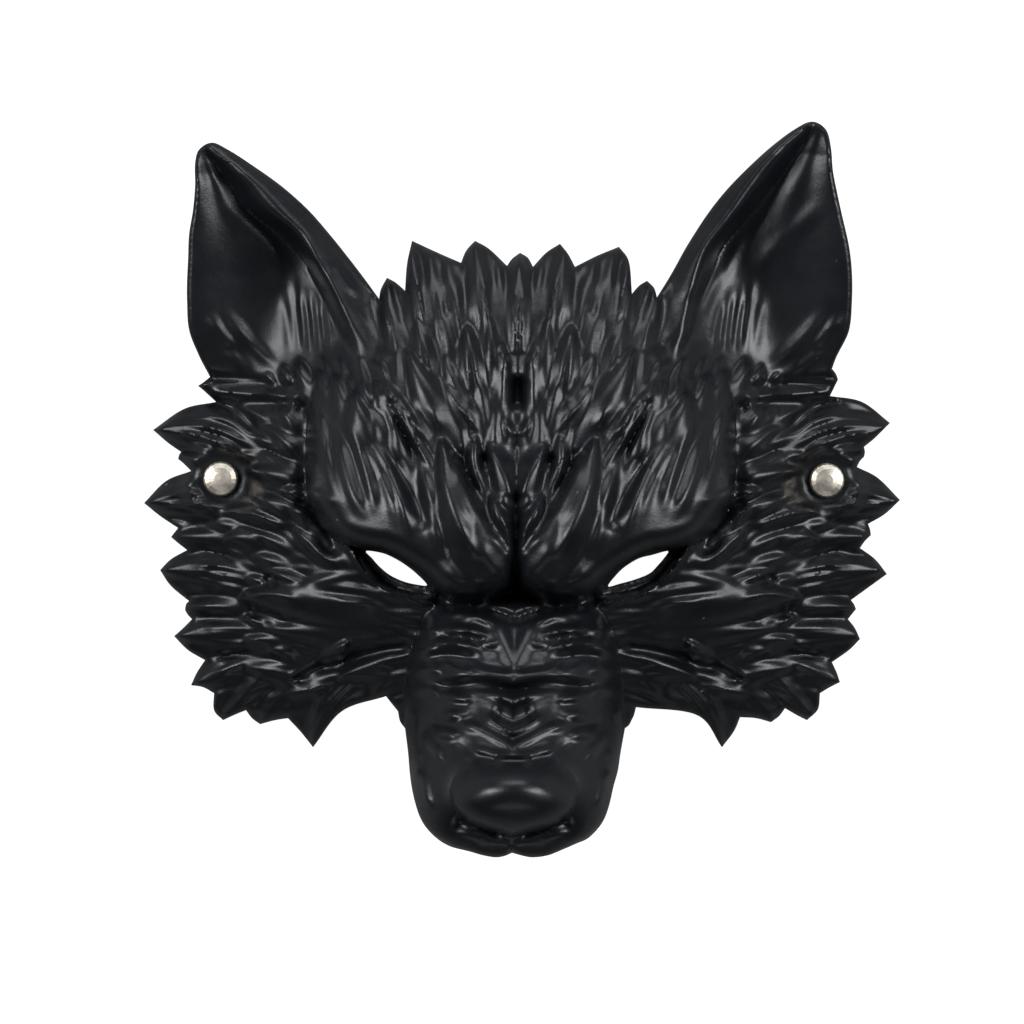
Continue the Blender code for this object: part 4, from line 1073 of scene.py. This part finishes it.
def sample(field, x, y):
    """Values of a grid field at places on the drawing."""
    xs, ys, values = field
    fx = np.clip((x - xs[0]) / (xs[1] - xs[0]), 0, len(xs) - 1.001)
    fy = np.clip((y - ys[0]) / (ys[1] - ys[0]), 0, len(ys) - 1.001)
    i, j = fx.astype(int), fy.astype(int)
    u, v = fx - i, fy - j
    return ((values[j, i] * (1 - u) + values[j, i + 1] * u) * (1 - v)
            + (values[j + 1, i] * (1 - u) + values[j + 1, i + 1] * u) * v)


def spread_points(loops, row_spacing, column_spacing):
    """Points in staggered rows inside the first loop, spaced by length over the form."""
    xs = np.arange(*GRID_X, 1.0)
    found = []
    levels = np.arange(*POINT_LEVELS, row_spacing / UNIT_Y)
    for number, y in enumerate(levels):
        height = form_height(xs, np.full(xs.shape, y))
        length = np.concatenate(([0], np.cumsum(np.hypot(np.diff(xs) * UNIT_X, np.diff(height)))))
        marks = np.arange((0.25 + 0.5 * (number % 2)) * column_spacing, length[-1], column_spacing)
        found += [(float(x), float(y)) for x in np.interp(marks, length, xs)]
    x, y = np.array(found).T
    keep = inside(x, y, loops[0])
    for loop in loops[1:]:
        keep &= ~inside(x, y, loop)
    clear = POINT_CLEAR * min(row_spacing, column_spacing) / UNIT_X
    for loop in loops:
        keep &= run_distance(x, y, list(loop), closed=True) > clear
    for place in RIVET_PLACES:
        keep &= rivet_distance(place, x, y) > RIVET_PAD_RADIUS
    radius = PAD_RING_SHARE * RIVET_PAD_RADIUS
    rings = np.concatenate([circle(place, radius, PAD_RING_POINTS) for place in RIVET_PLACES])
    return np.concatenate((x[keep], rings[:, 0])), np.concatenate((y[keep], rings[:, 1]))


def triangulate(loops, x, y):
    """Triangles between the loops and through the points; the loops' points come first."""
    places, edges = [], []
    for loop in loops:
        first = len(places)
        places += [Vector((float(px), float(py))) for px, py in loop]
        count = len(loop)
        edges += [(first + i, first + (i + 1) % count) for i in range(count)]
    fixed = len(places)
    places += [Vector((float(px), float(py))) for px, py in zip(x, y)]
    found, _, faces, origins, _, _ = delaunay_2d_cdt(places, edges, [], 0, 1e-6)
    if len(found) != len(places):
        raise ValueError("the outline crosses itself or two points coincide")
    order = [origin[0] for origin in origins]
    flat = np.array([tuple(place) for place in places])
    triangles = np.array([[order[i] for i in face] for face in faces])
    middles = flat[triangles].mean(axis=1)
    keep = inside(middles[:, 0], middles[:, 1], loops[0])
    for loop in loops[1:]:
        keep &= ~inside(middles[:, 0], middles[:, 1], loop)
    return flat, fixed, triangles[keep]


def lifted(x, y, height):
    """Real places of drawn ones: what is nearer the viewer is drawn larger than it is."""
    nearness = 1 - height / VIEW_DISTANCE
    return np.stack(((x - VIEW_X) * UNIT_X * nearness, (VIEW_Y - y) * UNIT_Y * nearness, height), axis=-1)


def rim_back(x, y, front):
    """Height of the edge's back: one wall behind the front, and the muzzle's side edges' own height."""
    back = np.maximum(front - EDGE_WALL, 0)
    edge = smooth_table([row[:4] for row in MUZZLE_SECTIONS], y)[..., 2] * MUZZLE_REACH
    muzzle = (y > FREE_EDGE_START) & (np.abs(x - axis(y)) < FREE_EDGE_REACH)
    return np.where(muzzle, np.minimum(edge, back), back)


def rim_sides(loops, count):
    """Triangles that join the front's edges to the back's, whose points come that many later."""
    first, sides = 0, []
    for loop in loops:
        for i in range(len(loop)):
            a, b = first + i, first + (i + 1) % len(loop)
            sides += [(a, b, count + b), (a, count + b, count + a)]
        first += len(loop)
    return sides


def build_skin(sizes):
    """The shell's mesh: relief front, smooth back and the edges between them."""
    spacing = sizes.edge_spacing / UNIT_X
    loops = [outline(spacing)]
    loops += [np.array(smooth_run(eye, spacing, closed=True)) for eye in (LEFT_EYE, RIGHT_EYE)]
    loops += [circle(place, RIVET_HOLE_RADIUS, HOLE_POINTS) for place in RIVET_PLACES]
    x, y = spread_points(loops, sizes.row_spacing, sizes.column_spacing)
    front_flat, fixed, front_faces = triangulate(loops, x, y)
    x, y = spread_points(loops, sizes.back_spacing, sizes.back_spacing)
    back_flat, _, back_faces = triangulate(loops, x, y)
    fx, fy = front_flat.T
    bx, by = back_flat.T
    front_z = front_height(fx, fy, sizes) - rounded_edge(fx, fy, loops, sizes.edge_round)
    form_z = form_height(bx, by)
    back_z = np.maximum(sample(back_field(BACK_CELL), bx, by), 0)
    rim = slice(0, fixed)
    back_z[rim] = rim_back(bx[rim], by[rim], form_z[rim])
    back_z = level_pads(bx, by, back_z, WALL)
    front_z[rim] = np.maximum(front_z[rim], back_z[rim] + 0.3 * WALL)
    front_z = level_pads(fx, fy, front_z, 0)
    places = np.concatenate((lifted(fx, fy, front_z), lifted(bx, by, back_z))) + frame_shift()
    count = len(front_flat)
    faces = [list(face) for face in front_faces]
    faces += [[count + i for i in face] for face in back_faces]
    faces += rim_sides(loops, count)
    mesh = bmesh.new()
    vertices = [mesh.verts.new(place) for place in places]
    for face in faces:
        mesh.faces.new([vertices[i] for i in face])
    bmesh.ops.recalc_face_normals(mesh, faces=mesh.faces[:])
    return mesh


def frame_shift():
    """Where the drawing's own place for the left rivet cap lies in the model's frame."""
    low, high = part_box("rivet_cap_left")
    place = RIVET_PLACES[0]
    level = rivet_level(place)
    drawn = lifted(np.array(place[0]), np.array(place[1]), np.array(level))
    return np.array(((low[0] + high[0]) / 2 - drawn[0], (low[1] + high[1]) / 2 - drawn[1],
                     low[2] - level - CLEARANCE))


def shader_material(name):
    """A new material and its Principled shader, node tree and links."""
    material = bpy.data.materials.new(name)
    material.use_nodes = True
    tree = material.node_tree
    return material, tree.nodes.get("Principled BSDF"), tree.nodes, tree.links


def noise_node(nodes, links, scale, detail, roughness=0.5):
    """A noise texture in the object's own coordinates."""
    place = nodes.new("ShaderNodeTexCoord")
    noise = nodes.new("ShaderNodeTexNoise")
    noise.inputs["Scale"].default_value = scale
    noise.inputs["Detail"].default_value = detail
    noise.inputs["Roughness"].default_value = roughness
    links.new(place.outputs["Object"], noise.inputs["Vector"])
    return noise


def ramp_node(nodes, links, source, low, high, low_value, high_value):
    """A ramp from one grey or colour to another over a range of the source."""
    ramp = nodes.new("ShaderNodeValToRGB")
    ramp.color_ramp.elements[0].position = low
    ramp.color_ramp.elements[1].position = high
    ramp.color_ramp.elements[0].color = (*low_value, 1.0)
    ramp.color_ramp.elements[1].color = (*high_value, 1.0)
    links.new(source, ramp.inputs["Fac"])
    return ramp


def bump_node(nodes, links, source, strength, depth):
    """A bump of that depth, in metres, from a source."""
    bump = nodes.new("ShaderNodeBump")
    bump.inputs["Strength"].default_value = strength
    bump.inputs["Distance"].default_value = depth
    links.new(source, bump.inputs["Height"])
    return bump


def scuff_mask(nodes, links):
    """1 on the pale rubbed streak on the left brow, broken up by the foam's grain, and 0 elsewhere."""
    x, y, level = np.array(SCUFF_PLACE[0]), np.array(SCUFF_PLACE[1]), np.array(SCUFF_LEVEL)
    spot = lifted(x, y, level) + frame_shift()
    place = nodes.new("ShaderNodeTexCoord")
    fitted = nodes.new("ShaderNodeMapping")
    fitted.vector_type = "TEXTURE"
    fitted.inputs["Location"].default_value = tuple(spot)
    fitted.inputs["Rotation"].default_value = (0, 0, math.radians(SCUFF_TURN))
    fitted.inputs["Scale"].default_value = SCUFF_HALF_SIZES
    links.new(place.outputs["Object"], fitted.inputs["Vector"])
    blob = nodes.new("ShaderNodeTexGradient")
    blob.gradient_type = "SPHERICAL"
    links.new(fitted.outputs["Vector"], blob.inputs["Vector"])
    grain = noise_node(nodes, links, *SCUFF_GRAIN)
    product = nodes.new("ShaderNodeMath")
    product.operation = "MULTIPLY"
    links.new(blob.outputs["Fac"], product.inputs[0])
    links.new(grain.outputs["Fac"], product.inputs[1])
    return ramp_node(nodes, links, product.outputs["Value"], 0.20, 0.42, (0, 0, 0),
                     (1, 1, 1)).outputs["Color"]


def foam_material(looks):
    """Moulded foam skin: satin black with a fine grain, cloudy gloss and a few pale scuffs."""
    material, shader, nodes, links = shader_material("black_foam_skin")
    colour = np.array(looks.foam_colour)
    cloud = noise_node(nodes, links, *SKIN_CLOUD)
    tint = ramp_node(nodes, links, cloud.outputs["Fac"], 0.35, 0.7, tuple(colour * 0.85),
                     tuple(colour * 1.2))
    specks = noise_node(nodes, links, *SKIN_SPECKS)
    mask = ramp_node(nodes, links, specks.outputs["Fac"], 0.80, 0.83, (0, 0, 0), (1, 1, 1))
    mix = nodes.new("ShaderNodeMix")
    mix.data_type = "RGBA"
    links.new(mask.outputs["Color"], mix.inputs["Factor"])
    links.new(tint.outputs["Color"], mix.inputs["A"])
    mix.inputs["B"].default_value = (*looks.scuff_colour, 1.0)
    scuffed = nodes.new("ShaderNodeMix")
    scuffed.data_type = "RGBA"
    links.new(scuff_mask(nodes, links), scuffed.inputs["Factor"])
    links.new(mix.outputs["Result"], scuffed.inputs["A"])
    scuffed.inputs["B"].default_value = (*looks.scuff_colour, 1.0)
    links.new(scuffed.outputs["Result"], shader.inputs["Base Color"])
    gloss = looks.foam_roughness
    blotch = noise_node(nodes, links, *SKIN_BLOTCH)
    rough = ramp_node(nodes, links, blotch.outputs["Fac"], 0.3, 0.7, (gloss - 0.05,) * 3,
                      (gloss + 0.06,) * 3)
    links.new(rough.outputs["Color"], shader.inputs["Roughness"])
    shader.inputs["Specular IOR Level"].default_value = looks.foam_specular
    grain = noise_node(nodes, links, *SKIN_GRAIN)
    dimple = noise_node(nodes, links, *SKIN_DIMPLE)
    fine = bump_node(nodes, links, grain.outputs["Fac"], looks.grain_strength, GRAIN_DEPTH)
    broad = bump_node(nodes, links, dimple.outputs["Fac"], *DIMPLE_BUMP)
    links.new(broad.outputs["Normal"], fine.inputs["Normal"])
    links.new(fine.outputs["Normal"], shader.inputs["Normal"])
    return material


def metal_material(name, colour, low_rough, high_rough):
    """Plated metal with faint cloudiness and hair scratches."""
    material, shader, nodes, links = shader_material(name)
    shader.inputs["Metallic"].default_value = 1.0
    colour = np.array(colour)
    cloud = noise_node(nodes, links, *METAL_CLOUD)
    tint = ramp_node(nodes, links, cloud.outputs["Fac"], 0.3, 0.75, tuple(colour * 0.88), tuple(colour))
    links.new(tint.outputs["Color"], shader.inputs["Base Color"])
    rough = ramp_node(nodes, links, cloud.outputs["Fac"], 0.3, 0.8, (low_rough,) * 3, (high_rough,) * 3)
    links.new(rough.outputs["Color"], shader.inputs["Roughness"])
    scratch = noise_node(nodes, links, *METAL_SCRATCH)
    bump = bump_node(nodes, links, scratch.outputs["Fac"], *SCRATCH_BUMP)
    links.new(bump.outputs["Normal"], shader.inputs["Normal"])
    return material


def floor_material(looks):
    """Backlit white surface: it glows evenly to the viewer and takes no shadows."""
    material, shader, nodes, links = shader_material("studio_floor")
    shader.inputs["Base Color"].default_value = (*looks.floor_colour, 1.0)
    shader.inputs["Roughness"].default_value = 1.0
    shader.inputs["Specular IOR Level"].default_value = 0.0
    shader.inputs["Emission Color"].default_value = (1.0, 1.0, 1.0, 1.0)
    rays = nodes.new("ShaderNodeLightPath")
    glow = nodes.new("ShaderNodeMix")
    glow.inputs["A"].default_value = looks.floor_spill
    glow.inputs["B"].default_value = looks.floor_glow
    links.new(rays.outputs["Is Camera Ray"], glow.inputs["Factor"])
    links.new(glow.outputs["Result"], shader.inputs["Emission Strength"])
    return material


def add_object(name, mesh, material, sharp_degrees):
    """A smooth-shaded object from a mesh, with edges sharper than the angle kept crisp."""
    data = bpy.data.meshes.new(name)
    mesh.to_mesh(data)
    mesh.free()
    data.polygons.foreach_set("use_smooth", [True] * len(data.polygons))
    data.set_sharp_from_angle(angle=math.radians(sharp_degrees))
    data.materials.append(material)
    item = bpy.data.objects.new(name, data)
    bpy.context.scene.collection.objects.link(item)
    return item


def add_area_light(name, place, target, size, power, colour):
    """A rectangular soft light aimed at a target."""
    data = bpy.data.lights.new(name, "AREA")
    data.shape = "RECTANGLE"
    data.size, data.size_y = size
    data.energy = power
    data.color = colour
    item = bpy.data.objects.new(name, data)
    item.location = place
    item.rotation_euler = (Vector(target) - Vector(place)).to_track_quat("-Z", "Y").to_euler()
    bpy.context.scene.collection.objects.link(item)


class MaskSizes(bpy.types.PropertyGroup):
    lock_rise: bpy.props.FloatProperty(
        name="Lock rise", default=0.0038, description="How far a lock's tip stands proud, in metres")
    strand_share: bpy.props.FloatProperty(
        name="Strand share", default=0.45, description="Depth of the grooves between a lock's strands")
    strand_depth: bpy.props.FloatProperty(
        name="Strand depth", default=0.0009, description="Height of the fine ridges, in metres")
    wrinkle_rise: bpy.props.FloatProperty(
        name="Wrinkle rise", default=0.0028, description="Height of the muzzle's folds, in metres")
    edge_round: bpy.props.FloatProperty(
        name="Edge round", default=0.0014, description="Radius of the rounded front edge, in metres")
    softness: bpy.props.FloatProperty(
        name="Softness", default=2.0, description="How far the relief is evened out, in drawing units")
    row_spacing: bpy.props.FloatProperty(
        name="Row spacing", default=0.00060, description="Distance between rows of points, in metres")
    column_spacing: bpy.props.FloatProperty(
        name="Column spacing", default=0.00068, description="Distance between points in a row, in metres")
    back_spacing: bpy.props.FloatProperty(
        name="Back spacing", default=0.0028, description="Distance between the back's points, in metres")
    edge_spacing: bpy.props.FloatProperty(
        name="Edge spacing", default=0.0008, description="Distance between the edges' points, in metres")


class MaskLooks(bpy.types.PropertyGroup):
    foam_colour: bpy.props.FloatVectorProperty(
        name="Foam", subtype="COLOR", default=(0.0058, 0.0068, 0.0088), description="The skin's black")
    scuff_colour: bpy.props.FloatVectorProperty(
        name="Scuffs", subtype="COLOR", default=(0.12, 0.12, 0.12), description="Small pale specks")
    foam_roughness: bpy.props.FloatProperty(
        name="Foam roughness", default=0.35, description="The skin's roughness")
    foam_specular: bpy.props.FloatProperty(
        name="Foam specular", default=0.5, description="The skin's specular level")
    grain_strength: bpy.props.FloatProperty(
        name="Grain strength", default=0.25, description="Strength of the skin's fine grain")
    nickel_colour: bpy.props.FloatVectorProperty(
        name="Nickel", subtype="COLOR", default=(1.0, 0.90, 0.76), description="The caps' metal")
    steel_colour: bpy.props.FloatVectorProperty(
        name="Steel", subtype="COLOR", default=(0.42, 0.42, 0.43), description="The rivet backs' metal")
    floor_colour: bpy.props.FloatVectorProperty(
        name="Floor", subtype="COLOR", default=(0.2, 0.2, 0.2), description="The studio floor")
    floor_glow: bpy.props.FloatProperty(
        name="Floor glow", default=1.0, description="How bright the floor looks")
    floor_spill: bpy.props.FloatProperty(
        name="Floor spill", default=0.05, description="How much of the floor's glow lights the mask")
    world_strength: bpy.props.FloatProperty(
        name="World strength", default=0.035, description="Strength of the even light all round")
    head_power: bpy.props.FloatProperty(
        name="Head light", default=5.4, description="Power of the light beyond the ears, in watts")
    foot_power: bpy.props.FloatProperty(
        name="Foot light", default=1.2, description="Power of the light beyond the muzzle, in watts")
    side_power: bpy.props.FloatProperty(
        name="Side lights", default=12.0, description="Power of each side light, in watts")


class MASK_OT_shell(bpy.types.Operator):
    """Build the moulded shell with its fur, ears, muzzle and eye openings"""
    bl_idname = "mask.shell"
    bl_label = "Shell"

    def execute(self, context):
        mesh = build_skin(context.scene.mask_sizes)
        shell = add_object("mask_skin", mesh, foam_material(context.scene.mask_looks), 50)
        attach(shell, "root")
        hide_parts("mask_shell")
        return {"FINISHED"}


class MASK_OT_rivets(bpy.types.Operator):
    """Give both rivets their polished and plain metal"""
    bl_idname = "mask.rivets"
    bl_label = "Rivets"

    def execute(self, context):
        looks = context.scene.mask_looks
        nickel = metal_material("nickel_polish", looks.nickel_colour, *NICKEL_ROUGHNESS)
        steel = metal_material("plain_steel", looks.steel_colour, *STEEL_ROUGHNESS)
        for side in SIDE_NAMES:
            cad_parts["rivet_cap_" + side].material_slots[0].material = nickel
            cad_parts["rivet_back_" + side].material_slots[0].material = steel
        return {"FINISHED"}


class MASK_OT_stage(bpy.types.Operator):
    """Lay the pale floor and set the soft lights and the camera over the mask"""
    bl_idname = "mask.stage"
    bl_label = "Stage, lights and camera"

    def execute(self, context):
        scene, looks = context.scene, context.scene.mask_looks
        mesh = bmesh.new()
        bmesh.ops.create_grid(mesh, x_segments=8, y_segments=8, size=FLOOR_HALF)
        floor = add_object("studio_floor", mesh, floor_material(looks), 30)
        floor.location.z = -FLOOR_DROP
        world = bpy.data.worlds.new("studio")
        world.use_nodes = True
        background = world.node_tree.nodes.get("Background")
        background.inputs["Color"].default_value = (1.0, 1.0, 1.0, 1.0)
        background.inputs["Strength"].default_value = looks.world_strength
        scene.world = world
        shift = frame_shift()
        centre = (shift[0], shift[1], LIGHT_TARGET_HEIGHT)
        for name, place, size, power in LIGHTS:
            above = (shift[0] + place[0], shift[1] + place[1], place[2])
            add_area_light(name, above, centre, size, getattr(looks, power), LIGHT_COLOUR)
        camera_data = bpy.data.cameras.new("camera")
        camera_data.sensor_width = SENSOR_WIDTH
        camera_data.lens = SENSOR_WIDTH * VIEW_DISTANCE / (SHEET * UNIT_X)
        camera = bpy.data.objects.new("camera", camera_data)
        camera.location = (shift[0], shift[1], VIEW_DISTANCE + shift[2])
        scene.collection.objects.link(camera)
        scene.camera = camera
        scene.view_settings.view_transform = "Standard"
        scene.view_settings.look = "None"
        return {"FINISHED"}


class MASK_PT_panel(bpy.types.Panel):
    """The mask's operators"""
    bl_label = "Werewolf Half Mask"
    bl_idname = "MASK_PT_panel"
    bl_space_type = "VIEW_3D"
    bl_region_type = "UI"
    bl_category = "Mask"

    def draw(self, context):
        for operator in OPERATORS:
            self.layout.operator(operator.bl_idname)


OPERATORS = (MASK_OT_shell, MASK_OT_rivets, MASK_OT_stage)
CLASSES = (MaskSizes, MaskLooks) + OPERATORS + (MASK_PT_panel,)


def register():
    for item in CLASSES:
        bpy.utils.register_class(item)
    bpy.types.Scene.mask_sizes = bpy.props.PointerProperty(type=MaskSizes)
    bpy.types.Scene.mask_looks = bpy.props.PointerProperty(type=MaskLooks)


def unregister():
    del bpy.types.Scene.mask_looks
    del bpy.types.Scene.mask_sizes
    for item in reversed(CLASSES):
        bpy.utils.unregister_class(item)


def main():
    """Build everything in order."""
    register()
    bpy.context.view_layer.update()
    bpy.ops.mask.shell()
    bpy.ops.mask.rivets()
    bpy.ops.mask.stage()


if __name__ == "__main__":
    main()
